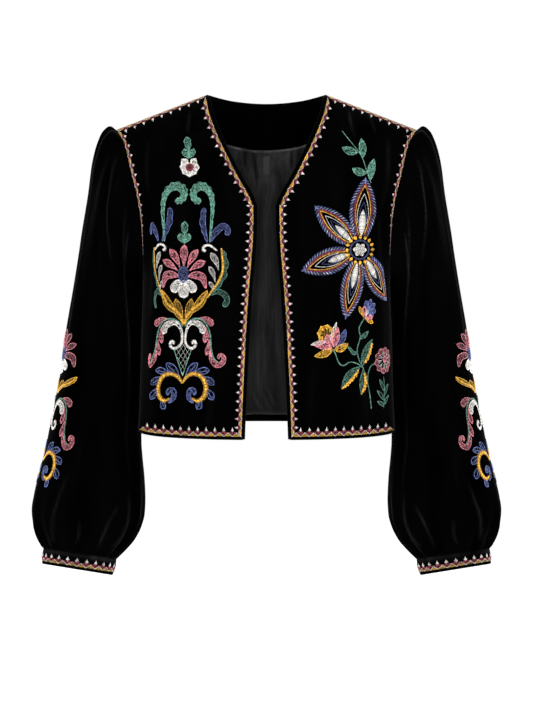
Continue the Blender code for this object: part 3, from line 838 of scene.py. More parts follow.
def sleeve_cloth(ring, angle, lift=0.0):
    """Points lifted off the sleeve's outer face, and the face's normals."""
    low, high = np.maximum(ring - FORM_STEP, 0), np.minimum(ring + FORM_STEP, LAST_RING)
    along = plain_sleeve(high, angle) - plain_sleeve(low, angle)
    around = plain_sleeve(ring, angle + FORM_STEP) - plain_sleeve(ring, angle - FORM_STEP)
    normal = unit(np.cross(around, along))
    height = sleeve_relief(ring, angle) + lift
    return plain_sleeve(ring, angle) + normal * height[..., None], normal


print("sleeve ends at", sleeve_cloth(np.array(float(LAST_RING)), np.array(0.0))[0])

# %% Sleeves
SLEEVE_ROWS, SLEEVE_SIDES = 104, 160
AROUND = np.arange(SLEEVE_SIDES) * 2 * np.pi / SLEEVE_SIDES
ring, angle = np.meshgrid(np.linspace(0, LAST_RING, SLEEVE_ROWS + 1), AROUND, indexing="ij")
outer, _ = sleeve_cloth(ring, angle)
inner, _ = sleeve_cloth(ring, angle, -WALL)
# crushed pile along the creases, painted lighter as sheen
painted_light_amount = painted_crease_light(SLEEVE_CREASES, ring * RING_MM, turn_between(angle, 0) * DEGREE_MM)
for side in ("left", "right"):
    pieces[f"sleeve_{side}"] = shell(
        f"cloth_sleeve_{side}", outer, inner, (velvet, satin), True, side == "right", painted_light_amount
    )

# %% [markdown]
# ## The cuffs
# A cuff is a short straight band that holds the gathers. It bulges a little between its seam and
# its rolled lower edge. A cylinder would do for it, but the band has to meet the sleeve's last ring
# all round, so it starts from that ring.

# %% Cuffs
CUFF_FOOT = dict(outer=(0.2956, -0.6131), inner=(0.2024, -0.6284), half_depth=0.0265)
CUFF_FROM, CUFF_ROWS, CUFF_BULGE = 0.01, 16, 0.0008
# a band of crushed pile under the seam, painted lighter as sheen: its middle, its width, and how it
# varies round the cuff
SHEEN_BAND_AT, SHEEN_BAND_OVER, SHEEN_BAND_EVEN, SHEEN_BAND_WAVE = 0.16, 0.14, 0.8, 0.4


def plain_cuff(down, angle):
    """The cuff's band: down 0 is its seam and 1 its lower edge."""
    head = ring_point(0 * angle + LAST_RING, angle)
    (outer_x, outer_z), (inner_x, inner_z) = CUFF_FOOT["outer"], CUFF_FOOT["inner"]
    foot_x = across_ring(outer_x, inner_x, angle)
    foot_z = across_ring(outer_z, inner_z, angle)
    forward = CUFF_FOOT["half_depth"] * np.sin(angle)
    foot = np.stack([foot_x, -forward, foot_z + forward * FORWARD_LEAN["lean"][-1]], axis=-1)
    return head + (foot - head) * down[..., None]


def cuff_cloth(down, angle, lift=0.0):
    """Points lifted off the cuff's outer face, and the face's normals."""
    along = plain_cuff(down + FORM_STEP, angle) - plain_cuff(down - FORM_STEP, angle)
    around = plain_cuff(down, angle + FORM_STEP) - plain_cuff(down, angle - FORM_STEP)
    normal = unit(np.cross(around, along))
    bulge = CUFF_BULGE * np.sin(np.pi * np.clip(down, 0, 1))
    return plain_cuff(down, angle) + normal * (bulge + lift)[..., None], normal


down, angle = np.meshgrid(np.linspace(CUFF_FROM, 1, CUFF_ROWS + 1), AROUND, indexing="ij")
outer, _ = cuff_cloth(down, angle)
inner, _ = cuff_cloth(down, angle, -WALL)
# painted sheen on the band of crushed pile under the seam, uneven round the cuff
painted_light_amount = np.exp(-(((down - SHEEN_BAND_AT) / SHEEN_BAND_OVER) ** 2))
painted_light_amount = painted_light_amount * (SHEEN_BAND_EVEN + SHEEN_BAND_WAVE * np.sin(3 * angle + 1))
for side in ("left", "right"):
    pieces[f"cuff_{side}"] = shell(
        f"cloth_cuff_{side}", outer, inner, (velvet, satin), True, side == "right", painted_light_amount
    )

# %% [markdown]
# ## Inside the neck
# Between the fronts the inside of the back shows: a velvet facing round the neck, then the satin
# lining in soft upright folds, and a small blank label. All three lie on the back's inside, moved
# in by their own depth. They could be parted from the back's own mesh, but then the satin could
# not fall in folds of its own.

# %% Sizes inside the neck
SOLID_WALL, INSIDE_EASE = 0.0025, 0.0014
FACING_Z, FACING_HALF, FACING_WALL = -0.0703, 0.1000, 0.0012
FACING_RISE = 0.0092 / 0.0560**2
FACING_ROWS, FACING_COLUMNS = 24, 64
FACING_SHOULDER_GAP, LINING_SHOULDER_GAP = 0.0040, 0.0120
LINING_HEM_Z, LINING_SIDE_SHARE, LINING_WALL = HEM_Z + 0.0100, 0.90, 0.0010
LINING_ROWS, LINING_COLUMNS, LINING_CROWD, LINING_ROW_CROWD = 120, 100, 0.35, 1.4
FOLDS_UP_TO, DEEPEST_CREASE = 1.1, -0.0006
LINING_FOLDS = table(
    "x slant depth width",
    (-0.118, 0.010, 0.0030, 0.016),
    (-0.072, 0.012, 0.0040, 0.014),
    (-0.030, 0.010, 0.0045, 0.011),
    (0.008, -0.004, 0.0035, 0.012),
    (0.043, -0.016, 0.0045, 0.013),
    (0.090, -0.012, 0.0035, 0.016),
)
LINING_CREASES = table(
    CREASE_COLUMNS,
    (-0.036, -0.064, -0.034, -0.092, 0.0018, 0.0046, 0.001, 0.25),
    (-0.0285, -0.062, -0.027, -0.098, 0.0022, 0.0050, 0.001, 0.5),
    (-0.0205, -0.060, -0.013, -0.124, 0.0026, 0.0064, -0.002, 0.5),
    (0.022, -0.069, 0.020, -0.132, 0.0020, 0.0040, 0.002, 0.1),
    (0.0348, -0.062, 0.0335, -0.096, 0.0022, 0.0048, 0.001, 0.5),
    (0.0435, -0.060, 0.0405, -0.094, 0.0020, 0.0050, -0.001, 0.4),
    (-0.016, -0.396, -0.005, -0.418, 0.0013, 0.0024, 0.001, 0.2),
    (-0.006, -0.390, 0.005, -0.418, 0.0014, 0.0024, -0.001, 0.2),
    (0.003, -0.386, 0.013, -0.412, 0.0011, 0.0024, 0.001, 0.2),
    (-0.012, -0.130, -0.020, -0.415, 0.0022, 0.0040, 0.003, 0),
    (0.014, -0.150, 0.022, -0.420, 0.0024, 0.0045, -0.003, 0),
    (0.026, -0.250, 0.030, -0.423, 0.0018, 0.0035, 0.002, 0),
    (-0.050, -0.120, -0.058, -0.410, 0.0014, 0.0050, -0.004, 0),
    (0.064, -0.140, 0.076, -0.415, 0.0014, 0.0055, 0.004, 0),
    (-0.004, -0.280, -0.002, -0.423, 0.0010, 0.0035, 0.001, 0),
)
LABEL_HALF, LABEL_TOP_Z, LABEL_FOOT_Z, LABEL_WALL = 0.0035, -0.0790, -0.1020, 0.0008
LABEL_EASE, LABEL_ROWS, LABEL_COLUMNS = 0.0005, 20, 12
ROLL_HIGH, ROLL_WIDE = 0.0026, 0.0012
# how evenly the painted highlight runs along the rolled edge, and how fast it wavers
ROLL_HIGHLIGHT_EVEN, ROLL_HIGHLIGHT_WAVE = 0.75, 260.0
# where the fronts' painted shadow begins inside their edges, how far it spreads, and how dark it gets
FRONT_SHADOW_FROM, FRONT_SHADOW_OVER, FRONT_SHADOW_MOST = 0.014, 0.016, 0.3
print(len(LINING_FOLDS["x"]), "folds and", len(LINING_CREASES["width"]), "creases in the lining")

# %% Form of the facing and the lining
FLAT = table(CREASE_COLUMNS, (0, 0, 1, 1, 0, 1, 0, 0))


def facing_foot(x):
    """Height of the seam between facing and lining."""
    return FACING_Z + FACING_RISE * x**2


def upper_roll(x, z):
    """1 along the crest of the lining's rolled upper edge, falling to 0 beside it."""
    return np.exp(-(((facing_foot(x) - z) / ROLL_WIDE - 1) ** 2))


def painted_front_shadow(x, z):
    """How much of the fronts' shadow is painted on the lining near their edges and behind them, from 0
    to 1.
    """
    return np.clip((np.abs(x) - edge_of_front(z) + FRONT_SHADOW_FROM) / FRONT_SHADOW_OVER, 0, 1)


def lining_painted_light(x, z):
    """Painted light: above 0 for the painted highlight along the rolled edge, below 0 for painted shade
    in the creases and the fronts' painted shadow.
    """
    painted_lining_light = upper_roll(x, z) * (ROLL_HIGHLIGHT_EVEN + (1 - ROLL_HIGHLIGHT_EVEN) * np.sin(ROLL_HIGHLIGHT_WAVE * x))
    return painted_lining_light - painted_crease_light(LINING_CREASES, x, z) - FRONT_SHADOW_MOST * painted_front_shadow(x, z)


def inside_back(x, z, depth):
    """Points on the back's inside, moved in from its outer face."""
    points, _ = body_cloth(x, np.minimum(z, top_of_back(x) - NUDGE), 1, FLAT, -depth)
    return points


def lining_depth(x, z):
    """How far the lining's folds, and the roll of its upper edge, stand in from the back."""
    depth = ROLL_HIGH * upper_roll(x, z)
    height = (z - LINING_HEM_Z) / (FACING_Z - LINING_HEM_Z)
    for middle, slant, deep, width in zip(*LINING_FOLDS.values()):
        across = (x - middle - slant * height) / width
        depth = depth + deep * np.exp(-(across**2)) * np.clip(FOLDS_UP_TO - height, 0, 1)
    return depth + np.maximum(creases(LINING_CREASES, x, z), DEEPEST_CREASE)


def lining_side(z):
    """Half the lining's width at a height."""
    return LINING_SIDE_SHARE * side_of_panel(z, 1)


print(f"the lining is {2000 * lining_side(np.array(UNDERARM_Z)):.0f} mm wide under the arms")

# %% Facing
across = np.linspace(-FACING_HALF, FACING_HALF, FACING_COLUMNS + 1)
share, x = np.meshgrid(np.linspace(0, 1, FACING_ROWS + 1), across, indexing="ij")
past_neck = np.clip((np.abs(x) - NECK_HALF) / (FACING_HALF - NECK_HALF), 0, 1)
top = top_of_back(x) - NUDGE - FACING_SHOULDER_GAP * np.sqrt(past_neck)
z = top + (facing_foot(x) - top) * share
depth = np.full_like(x, SOLID_WALL + INSIDE_EASE)
pieces["back_neck_facing"] = shell(
    "cloth_back_neck_facing",
    inside_back(x, z, depth),
    inside_back(x, z, depth + FACING_WALL),
    (velvet,),
)

# %% Lining
top_half = lining_side(np.array(FACING_Z))
across = np.linspace(-1, 1, LINING_COLUMNS + 1)
across = LINING_CROWD * across + (1 - LINING_CROWD) * across**3
down = np.linspace(0, 1, LINING_ROWS + 1) ** LINING_ROW_CROWD
share, top_x = np.meshgrid(down, top_half * across, indexing="ij")
top = np.minimum(facing_foot(top_x) - SEAM, shoulder_z(top_x) - LINING_SHOULDER_GAP)
z = top + (LINING_HEM_Z - top) * share
x = top_x / top_half * (top_half + (lining_side(z) - top_half) * np.minimum(2 * share, 1))
depth = SOLID_WALL + INSIDE_EASE + lining_depth(x, z)
pieces["back_lining"] = shell(
    "cloth_back_lining",
    inside_back(x, z, depth),
    inside_back(x, z, depth + LINING_WALL),
    (satin,),
    # painted light on the lining: highlight, crease shade and the fronts' shadow
    crush_and_painted_light=lining_painted_light(x, z),
)

# %% Label
down = np.linspace(LABEL_TOP_Z, LABEL_FOOT_Z, LABEL_ROWS + 1)
across = np.linspace(-LABEL_HALF, LABEL_HALF, LABEL_COLUMNS + 1)
z, x = np.meshgrid(down, across, indexing="ij")
depth = SOLID_WALL + INSIDE_EASE + lining_depth(x, z) + LINING_WALL + LABEL_EASE
pieces["label"] = shell(
    "blank_label", inside_back(x, z, depth), inside_back(x, z, depth + LABEL_WALL), (tape,)
)

# %% [markdown]
# ## Threads
# Embroidery thread is glossy and slightly fuzzy, and no two stitches take the light alike. Each
# colour is one material. Every stitch carries a number, its shade, which darkens or lightens its
# thread: fillings are deeper than outlines, and each stitch differs a little from the next. A noise
# about as fine as a stitch makes the dyed threads patchy; the white one is more even. A material
# for every shade would do the same with dozens of materials.

# %% Thread materials
THREAD_COLOURS = {
    "white": (0.80, 0.77, 0.73),
    "gold": (0.68, 0.37, 0.042),
    "pink": (0.73, 0.25, 0.30),
    "maroon": (0.22, 0.032, 0.048),
    "blue": (0.130, 0.170, 0.420),
    "navy": (0.040, 0.055, 0.150),
    "green": (0.160, 0.395, 0.295),
}
FUZZ_SCALE, FUZZ_DYED, FUZZ_WHITE = 560.0, 0.60, 0.16
GLOSS_SCALE, TWIST_SCALE = 1500.0, 4200.0


def thread_material(name, colour):
    material, tree, shader = new_material(
        f"thread_{name}", Specular_IOR_Level=0.2, Sheen_Weight=0.05, Sheen_Roughness=0.4
    )
    uneven = FUZZ_WHITE if name == "white" else FUZZ_DYED
    fuzz = spread(tree, noise(tree, FUZZ_SCALE), 1 - uneven, 1 + uneven)
    light = product(tree, carried(tree, "shade"), fuzz)
    tree.links.new(scaled(tree, colour, light), shader.inputs["Base Color"])
    tree.links.new(spread(tree, noise(tree, GLOSS_SCALE), 0.42, 0.62), shader.inputs["Roughness"])
    bump(tree, shader, noise(tree, TWIST_SCALE), 0.0002, 0.4)
    return material


threads = {name: thread_material(name, colour) for name, colour in THREAD_COLOURS.items()}
print("threads:", ", ".join(threads))

# %% [markdown]
# ## One stitch, many times
# A stitch is a short thread that rises out of the cloth, arches over it and dives back. Geometry
# Nodes makes one from a curve, thin at both ends, and puts a copy on every point of a cloud. Each
# point knows which way its thread runs, which way the cloth faces, and the stitch's size. Modelling
# the stitches by hand would take days; a particle system could not follow the drawing.

# %% What the stitch tree is given
STITCH_INPUTS = {
    "Arch": "NodeSocketFloat",
    "Tip Share": "NodeSocketFloat",
    "Sides": "NodeSocketInt",
    "Points Along": "NodeSocketInt",
    "Thread": "NodeSocketMaterial",
}
stitch_tree = bpy.data.node_groups.new("stitches", "GeometryNodeTree")
face = stitch_tree.interface
face.new_socket("Geometry", in_out="INPUT", socket_type="NodeSocketGeometry")
face.new_socket("Geometry", in_out="OUTPUT", socket_type="NodeSocketGeometry")
socket_ids = {
    name: face.new_socket(name, in_out="INPUT", socket_type=kind).identifier
    for name, kind in STITCH_INPUTS.items()
}
print("stitch tree takes:", ", ".join(socket_ids))

# %% One stitch
given = add_node(stitch_tree, "NodeGroupInput").outputs
ends = {"Start": (-0.5, 0, 0), "End": (0.5, 0, 0)}
line = add_node(stitch_tree, "GeometryNodeCurvePrimitiveLine", ends)
bent = add_node(
    stitch_tree, "GeometryNodeResampleCurve", {"Curve": line.outputs[0], "Count": given["Points Along"]}
)
share = add_node(stitch_tree, "GeometryNodeSplineParameter").outputs["Factor"]
half_turn = product(stitch_tree, share, np.pi)
rise = add_node(stitch_tree, "ShaderNodeMath", {0: half_turn}, operation="SINE").outputs[0]
lifted = product(stitch_tree, rise, given["Arch"])
offset = add_node(stitch_tree, "ShaderNodeCombineXYZ", {"Z": lifted})
arched = add_node(
    stitch_tree, "GeometryNodeSetPosition", {"Geometry": bent.outputs[0], "Offset": offset.outputs[0]}
)
thick = add_node(
    stitch_tree, "ShaderNodeMapRange", {"Value": rise, "To Min": given["Tip Share"], "To Max": 1.0}
)
profile = add_node(
    stitch_tree, "GeometryNodeCurvePrimitiveCircle", {"Resolution": given["Sides"], "Radius": 0.5}
)
thread_mesh = add_node(
    stitch_tree,
    "GeometryNodeCurveToMesh",
    {
        "Curve": arched.outputs[0],
        "Profile Curve": profile.outputs["Curve"],
        "Scale": thick.outputs["Result"],
        "Fill Caps": True,
    },
)
print("one stitch:", len(stitch_tree.nodes), "nodes")


# %% A stitch on every point
def named(name, kind="FLOAT_VECTOR"):
    """A named attribute of the point cloud."""
    node = add_node(stitch_tree, "GeometryNodeInputNamedAttribute", {"Name": name}, data_type=kind)
    return node.outputs["Attribute"]


facing = add_node(
    stitch_tree,
    "FunctionNodeAxesToRotation",
    {"Primary Axis": named("cloth_normal"), "Secondary Axis": named("thread_run")},
    primary_axis="Z",
    secondary_axis="X",
)
copies = add_node(
    stitch_tree,
    "GeometryNodeInstanceOnPoints",
    {
        "Points": given["Geometry"],
        "Instance": thread_mesh.outputs[0],
        "Rotation": facing.outputs[0],
        "Scale": named("stitch_size"),
    },
)
real = add_node(stitch_tree, "GeometryNodeRealizeInstances", {"Geometry": copies.outputs[0]})
smooth = add_node(stitch_tree, "GeometryNodeSetShadeSmooth", {"Geometry": real.outputs[0]})
finished = add_node(
    stitch_tree, "GeometryNodeSetMaterial", {"Geometry": smooth.outputs[0], "Material": given["Thread"]}
)
add_node(stitch_tree, "NodeGroupOutput", {"Geometry": finished.outputs[0]})
print("stitch tree:", len(stitch_tree.nodes), "nodes")

# %% [markdown]
# The cloud itself comes from flat drawings. A drawing is a list of stitches, each with two ends in
# millimetres, a thread width, a shade and a level above the cloth. Laying it on the cloth turns
# both ends into points on the surface; the stitch sits between them. An image of the drawing would
# be lighter, but it would look printed.

# %% Laying stitches on cloth
MM = 0.001
STITCH_LIFT, STITCH_HEIGHT, STITCH_ARCH = 0.00012, 0.75, 0.35
STITCH_SIDES, STITCH_BENDS, STITCH_TIP = 4, 3, 0.53
CLOUD_VECTORS = {3: "thread_run", 6: "cloth_normal", 9: "stitch_size"}
SHADE_COLUMN = 12
clouds = {}


def lay(panel, drawing, on_cloth, mirrored=False):
    """Adds a drawing's stitches to a panel's clouds, one cloud for each thread."""
    turn = np.array([-1, 1, 1]) if mirrored else np.ones(3)
    for colour in {thread: None for thread, _ in drawing}:
        block = np.concatenate([part for thread, part in drawing if thread == colour])
        first, last = block[:, 0:2], block[:, 2:4]
        start, _ = on_cloth(*first.T)
        end, _ = on_cloth(*last.T)
        middle, normal = on_cloth(*((first + last) / 2).T)
        width, shade, level = block[:, 4:5] * MM, block[:, 5:6], block[:, 6:7] * MM
        length = np.linalg.norm(end - start, axis=1, keepdims=True)
        size = np.hstack([length + width * STITCH_TIP, width, width * STITCH_HEIGHT])
        place = middle + normal * (STITCH_LIFT + level)
        cloud = np.hstack([place * turn, (end - start) * turn, normal * turn, size, shade])
        clouds.setdefault((panel, colour), []).append(cloud)


print("stitches are laid in millimetres,", STITCH_LIFT / MM, "mm off the cloth")


# %% Sewing a cloud
def sew(panel, colour):
    """Turns one cloud into a mesh of stitches."""
    cloud = np.concatenate(clouds[panel, colour])
    name = f"stitches_{panel}_{colour}"
    points = bpy.data.meshes.new(name)
    points.from_pydata(cloud[:, 0:3].tolist(), [], [])
    for column, attribute in CLOUD_VECTORS.items():
        layer = points.attributes.new(attribute, "FLOAT_VECTOR", "POINT")
        layer.data.foreach_set("vector", cloud[:, column : column + 3].astype(np.float32).ravel())
    layer = points.attributes.new("shade", "FLOAT", "POINT")
    layer.data.foreach_set("value", cloud[:, SHADE_COLUMN].astype(np.float32))
    holder = bpy.data.objects.new(name + "_points", points)
    scene.collection.objects.link(holder)
    modifier = holder.modifiers.new("stitches", "NODES")
    modifier.node_group = stitch_tree
    modifier[socket_ids["Arch"]] = STITCH_ARCH
    modifier[socket_ids["Tip Share"]] = STITCH_TIP
    modifier[socket_ids["Sides"]] = STITCH_SIDES
    modifier[socket_ids["Points Along"]] = STITCH_BENDS
    modifier[socket_ids["Thread"]] = threads[colour]
    evaluated = holder.evaluated_get(bpy.context.evaluated_depsgraph_get())
    mesh = bpy.data.meshes.new_from_object(evaluated)
    mesh.name = name
    holder.modifiers.remove(modifier)
    bpy.data.objects.remove(holder)
    piece = bpy.data.objects.new(name, mesh)
    scene.collection.objects.link(piece)
    return piece, len(cloud)


print("clouds are sewn by", stitch_tree.name)

# %% [markdown]
# ## Strokes
# A needleworker thinks in strokes: a stem, a leaf, a scroll. Each stroke here is a smooth line
# through a few points with a width along it. Narrow strokes are sewn in satin stitch, threads side
# by side across the stroke. Broad ones are filled with rows of short stitches that follow the
# outline: the outermost rows are the bright outline, and the inner ones are deeper.

# %% Lines, ribbons and stitches
STEP = 0.4
GRAIN, DARKEST, LIGHTEST = 0.26, 0.1, 3.6
random = np.random.default_rng(11)


def smooth_line(points):
    """Even samples of a smooth line through a few points, with the share of the way along."""
    p = np.array(points, float)
    ends = np.vstack([2 * p[0] - p[1], p, 2 * p[-1] - p[-2]])
    t = np.linspace(0, len(p) - 1, 40 * (len(p) - 1) + 1)
    i = np.minimum(t.astype(int), len(p) - 2)
    f = (t - i)[:, None]
    a, b, c, d = (ends[i + k] for k in range(4))
    line = b + (c - a) * f / 2 + (2 * a - 5 * b + 4 * c - d) * f**2 / 2
    line = line + (3 * b - a - 3 * c + d) * f**3 / 2
    run = np.concatenate([[0], np.cumsum(np.linalg.norm(np.diff(line, axis=0), axis=1))])
    even = np.linspace(0, run[-1], max(int(run[-1] / STEP), 4) + 1)
    return np.stack([np.interp(even, run, column) for column in (*line.T, t / (len(p) - 1))], axis=1)


def ribbon(points, widths, waves=(0, 0), depth=0.3):
    """A stroke's middle line and its two edges; waves scallop the left and the right edge."""
    line = smooth_line(points)
    middle, share = line[:, :2], line[:, 2]
    half = np.interp(share, np.linspace(0, 1, len(widths)), widths) / 2
    from_end = np.minimum(np.arange(len(half)), np.arange(len(half))[::-1]) * STEP
    half = half * np.sqrt(1 - np.clip(1 - from_end / np.maximum(half, STEP), 0, 1) ** 2)
    tangent = unit(np.gradient(middle, axis=0))
    aside = np.stack([-tangent[:, 1], tangent[:, 0]], axis=1)
    edges = []
    for sign, count in zip((1, -1), waves):
        scallop = 1 - depth * (1 - np.abs(np.sin(np.pi * count * share))) if count else 1.0
        edges.append(middle + sign * aside * (half * scallop)[:, None])
    return middle, *edges


def stitches(first, last, width, shade, spread=0.14, level=0.0):
    """A block of stitches, each with its ends, width, shade and level; the shade differs a little from
    stitch to stitch, as in hand work.
    """
    uneven = np.hypot(spread, GRAIN) * random.standard_normal(len(first))
    light = np.clip(shade * (1 + uneven), DARKEST, LIGHTEST)
    return np.column_stack([first, last, np.full_like(light, width), light, np.full_like(light, level)])


print("lines are sampled every", STEP, "mm")

# %% Strokes
CHAIN, ROW_GAP, THREAD = 2.4, 1.1, 0.9
SATIN_GAP, BARE_SHARE = 0.8, 0.18
OUTLINE_SPREAD, FILL_SPREAD, FULL_CORE, OUTLINE_LEVEL = 0.12, 0.3, 0.8, 0.15
CROWD_EVEN, CROWD_ODD = 0.18, 0.45
# a raised stroke's flanks are painted darker as shade and its crown lighter as a highlight
FLANK_PAINTED_SHADE, CROWN_PAINTED_HIGHLIGHT, CROWN_SHARE, CROWN_LEVEL = 0.62, 1.25, 0.4, 0.4


def satin_stroke(colour, points, widths, shade=1.0, slant=1, level=0.2, spread=0.2):
    """Threads side by side across a stroke."""
    _, left, right = ribbon(points, widths)
    pick = np.arange(0, len(left), max(int(SATIN_GAP / STEP), 1))
    lean = np.clip(pick + slant, 0, len(left) - 1)
    return [(colour, stitches(left[pick], right[lean], THREAD, shade, spread, level))]


def raised_stroke(colour, points, widths, shade=1.0, level=0.2):
    """Satin stitch over a padding: its crown is painted lighter as a highlight and its two flanks
    darker as shade.
    """
    sewn = satin_stroke(colour, points, widths, FLANK_PAINTED_SHADE * shade, level=level, spread=FILL_SPREAD)
    crown = [CROWN_SHARE * width for width in widths]
    return sewn + satin_stroke(colour, points, crown, CROWN_PAINTED_HIGHLIGHT * shade, level=level + CROWN_LEVEL)


def filled_stroke(
    colour, points, widths, core=0.6, shade=1.0, waves=(0, 0), depth=0.35, level=0.0, bare=BARE_SHARE
):
    """Rows of short stitches along a stroke: a bright outline and a deeper, looser filling."""
    _, left, right = ribbon(points, widths, waves, depth)
    wide = np.linalg.norm(left - right, axis=1)
    rows = max(int(np.ceil(wide.max() / ROW_GAP)), 2)
    jump = int(CHAIN / STEP)
    sewn = []
    for row in range(rows):
        path = left + (right - left) * row / (rows - 1)
        outline = row in (0, rows - 1)
        start = np.arange(-(row % 3) * jump // 3, len(path) - 1, jump)
        first, last = np.maximum(start, 0), np.clip(start + jump, 0, len(path) - 1)
        crowded = wide[(first + last) // 2] < rows * ROW_GAP * (CROWD_ODD if row % 2 else CROWD_EVEN)
        loose = random.random(len(first)) < bare
        keep = (last > first) & (outline | ~(crowded | loose))
        ends = path[first[keep]], path[last[keep]]
        light = shade if outline else shade * core
        spread = OUTLINE_SPREAD if outline or core >= FULL_CORE else FILL_SPREAD
        block = stitches(*ends, THREAD, light, spread, level + OUTLINE_LEVEL * outline)
        sewn.append((colour, block))
    return sewn


def stem(colour, points, shade=1.0, width=1.5, level=0.3):
    """A thin line in stem stitch: short stitches that overlap by half."""
    line = smooth_line(points)[:, :2]
    jump = int(CHAIN / STEP)
    first = np.arange(0, max(len(line) - jump // 2, 1), jump // 2)
    last = np.minimum(first + jump, len(line) - 1)
    return [(colour, stitches(line[first], line[last], width, shade, 0.14, level))]


def dots(colour, points, shade, gap=2.8, width=1.0):
    """Single short stitches in a row."""
    line = smooth_line(points)[:, :2]
    first = np.arange(0, len(line) - 3, int(gap / STEP))
    return [(colour, stitches(line[first], line[first + 3], width, shade, 0.2, 0.35))]


print("threads are", THREAD, "mm wide, in rows", ROW_GAP, "mm apart")


# %% Shapes and copies
def leaf(root, tip, width, bend=0.0, belly=0.45, blunt=0.75):
    """Points and widths of a leaf: pointed at both ends, bent to the left of its run by bend."""
    root, tip = np.array(root, float), np.array(tip, float)
    aside = np.array([-(tip - root)[1], (tip - root)[0]]) / np.linalg.norm(tip - root)
    share = np.linspace(0, 1, 5)[:, None]
    points = root + (tip - root) * share + aside * bend * np.sin(np.pi * share)
    shift = np.log(0.5) / np.log(belly)
    return points, width * np.sin(np.pi * np.linspace(0, 1, 13) ** shift) ** blunt


def petal(root, tip, width, bend=0.0):
    """A leaf that is broadest near its round tip."""
    points, widths = leaf(root, tip, width, bend, 0.66)
    return points, np.maximum(widths, width * 0.12)


def both_sides(drawing):
    """A drawing and its mirror image across the middle line."""
    flip = np.array([-1, 1, -1, 1, 1, 1, 1])
    return drawing + [(colour, block * flip) for colour, block in drawing]


def moved(drawing, shift=(0, 0), scale=(1, 1)):
    """A drawing made larger or smaller and moved."""
    grow = np.array([*scale, *scale, 1, 1, 1])
    push = np.array([*shift, *shift, 0, 0, 0])
    return [(colour, block * grow + push) for colour, block in drawing]


def towards(turn):
    """The flat direction at an angle in degrees."""
    return np.array([np.cos(np.radians(turn)), np.sin(np.radians(turn))])


def circle(radius):
    return [radius * towards(turn) for turn in range(0, 361, 30)]


def stitch_count(drawing):
    return sum(len(block) for _, block in drawing)


def sewn_shapes(rows):
    """Filled shapes from rows of colour, shape, root, tip, width, bend, core, shade and level."""
    sewn = []
    for colour, shape, root, tip, width, bend, core, shade, level in rows:
        sewn += filled_stroke(colour, *shape(root, tip, width, bend), core, shade, level=level)
    return sewn


print("shapes: leaf, petal, circle")

# %% [markdown]
# ## The tall motif
# The right front carries one tall drawing, nearly symmetrical: a leaf and a white flower at the
# top, a green arch, a pink palmette in a golden cup, hanging scrolls and a golden double curl with
# blue petals. Half of it is drawn, in millimetres from the palmette's eye, and mirrored. The two
# upright blue leaves differ, so each of them is drawn.


# %% Top of the tall motif
def sprig(foot, height, lean=0.0):
    """Three leaves from one point: one upright or leaning, two lobes."""
    h = height
    up = filled_stroke("green", *leaf((0, 0.40 * h), (lean, h), 0.36 * h, 0, 0.55), 0.7, waves=(2, 2))
    lobe = filled_stroke("green", *petal((0.3, 0), (0.22 * h, 0.44 * h), 0.29 * h, -0.8), 0.8)
    return moved(up + both_sides(lobe) + stem("green", [(0, 0), (0, 0.5 * h)], 0.9, 1.6), foot)


def white_flower(centre, radius):
    """A scalloped round flower with a dark red eye and two ears at the top."""
    sewn = []
    for turn, reach in ((-90, 1.0), (-42, 0.98), (4, 1.04), (84, 0.5), (180, 1.08), (222, 1.0)):
        way = towards(turn)
        lobe = petal(0.3 * radius * way, reach * radius * way, 0.85 * radius)
        sewn += filled_stroke("white", *lobe, 0.97, 1.05, bare=0.03)
    for turn, reach in ((45, 1.27), (124, 1.18)):
        way = towards(turn)
        ear = leaf(0.2 * radius * way, reach * radius * way, 0.8 * radius, 0, 0.6, 1.2)
        sewn += filled_stroke("white", *ear, 0.97, 1.05, bare=0.03)
    for ring, shade in ((0.38, 1.1), (0.25, 0.9), (0.12, 0.35)):
        sewn += stem("maroon", circle(ring * radius), shade, 1.7, level=0.6)
    return moved(sewn, centre)


def top_motif():
    """The arch, blue leaves and white curls under it, two sprigs and the flower."""
    over = [(31, 41), (32.5, 66), (33, 89), (28, 104), (17.5, 110.5)]
    over += [(8.5, 107), (5.8, 99.5), (9.5, 92.5), (17, 91)]
    widths = [1.5, 3.2, 5.6, 8.4, 10.5, 10.5, 9, 8, 8.5]
    arch = filled_stroke("green", over, widths, 0.85, waves=(0, 14), depth=0.5)
    arches = moved(both_sides(arch), (-3.9, 0), (0.95, 1))
    widths = [1.5, 6, 7.5, 5.5]
    upright = [(28.5, 41), (23, 54), (18.5, 67), (18.5, 83)]
    leaves = filled_stroke("blue", upright, widths, 0.4, waves=(4, 0))
    upright = [(-30, 41), (-25.5, 54), (-23, 67), (-24.5, 83)]
    leaves += filled_stroke("blue", upright, widths, 0.4, waves=(0, 4))
    curl = [(34, 41), (39.5, 52), (49, 60.5), (56, 56), (54, 49.5)]
    half = filled_stroke("blue", curl, [1.5, 7.5, 7.5, 6, 6], 0.4)
    curl = [(43, 30), (33.5, 36.5), (26.5, 35.5), (25, 31), (28.5, 29.5)]
    half += satin_stroke("white", curl, [1.4, 2.0, 2.3, 2.5, 2.8])
    sprigs = sprig((-2, 144.7), 27, 4.0) + sprig((0, 39), 27)
    return arches + leaves + both_sides(half) + sprigs + white_flower((-3.8, 133.3), 11.5)


print("top of the tall motif:", stitch_count(top_motif()), "stitches")

# %% Palmette in its cup
PINK_CORE, VEIN = 0.75, 0.3
CUP_SPREAD, CURL_SPREAD = 1.10, 1.05
GREY_CORE, GREY = 0.6, 0.72
GREY_DROPS = (
    ((41.9, 6), (31.9, 27), 7, -1.5, 0.68),
    ((38.2, -9), (30.6, 10), 5.4, -1.5, 0.68),
    ((35.6, -18.4), (31.2, -9.4), 4.2, -1, 0.6),
)


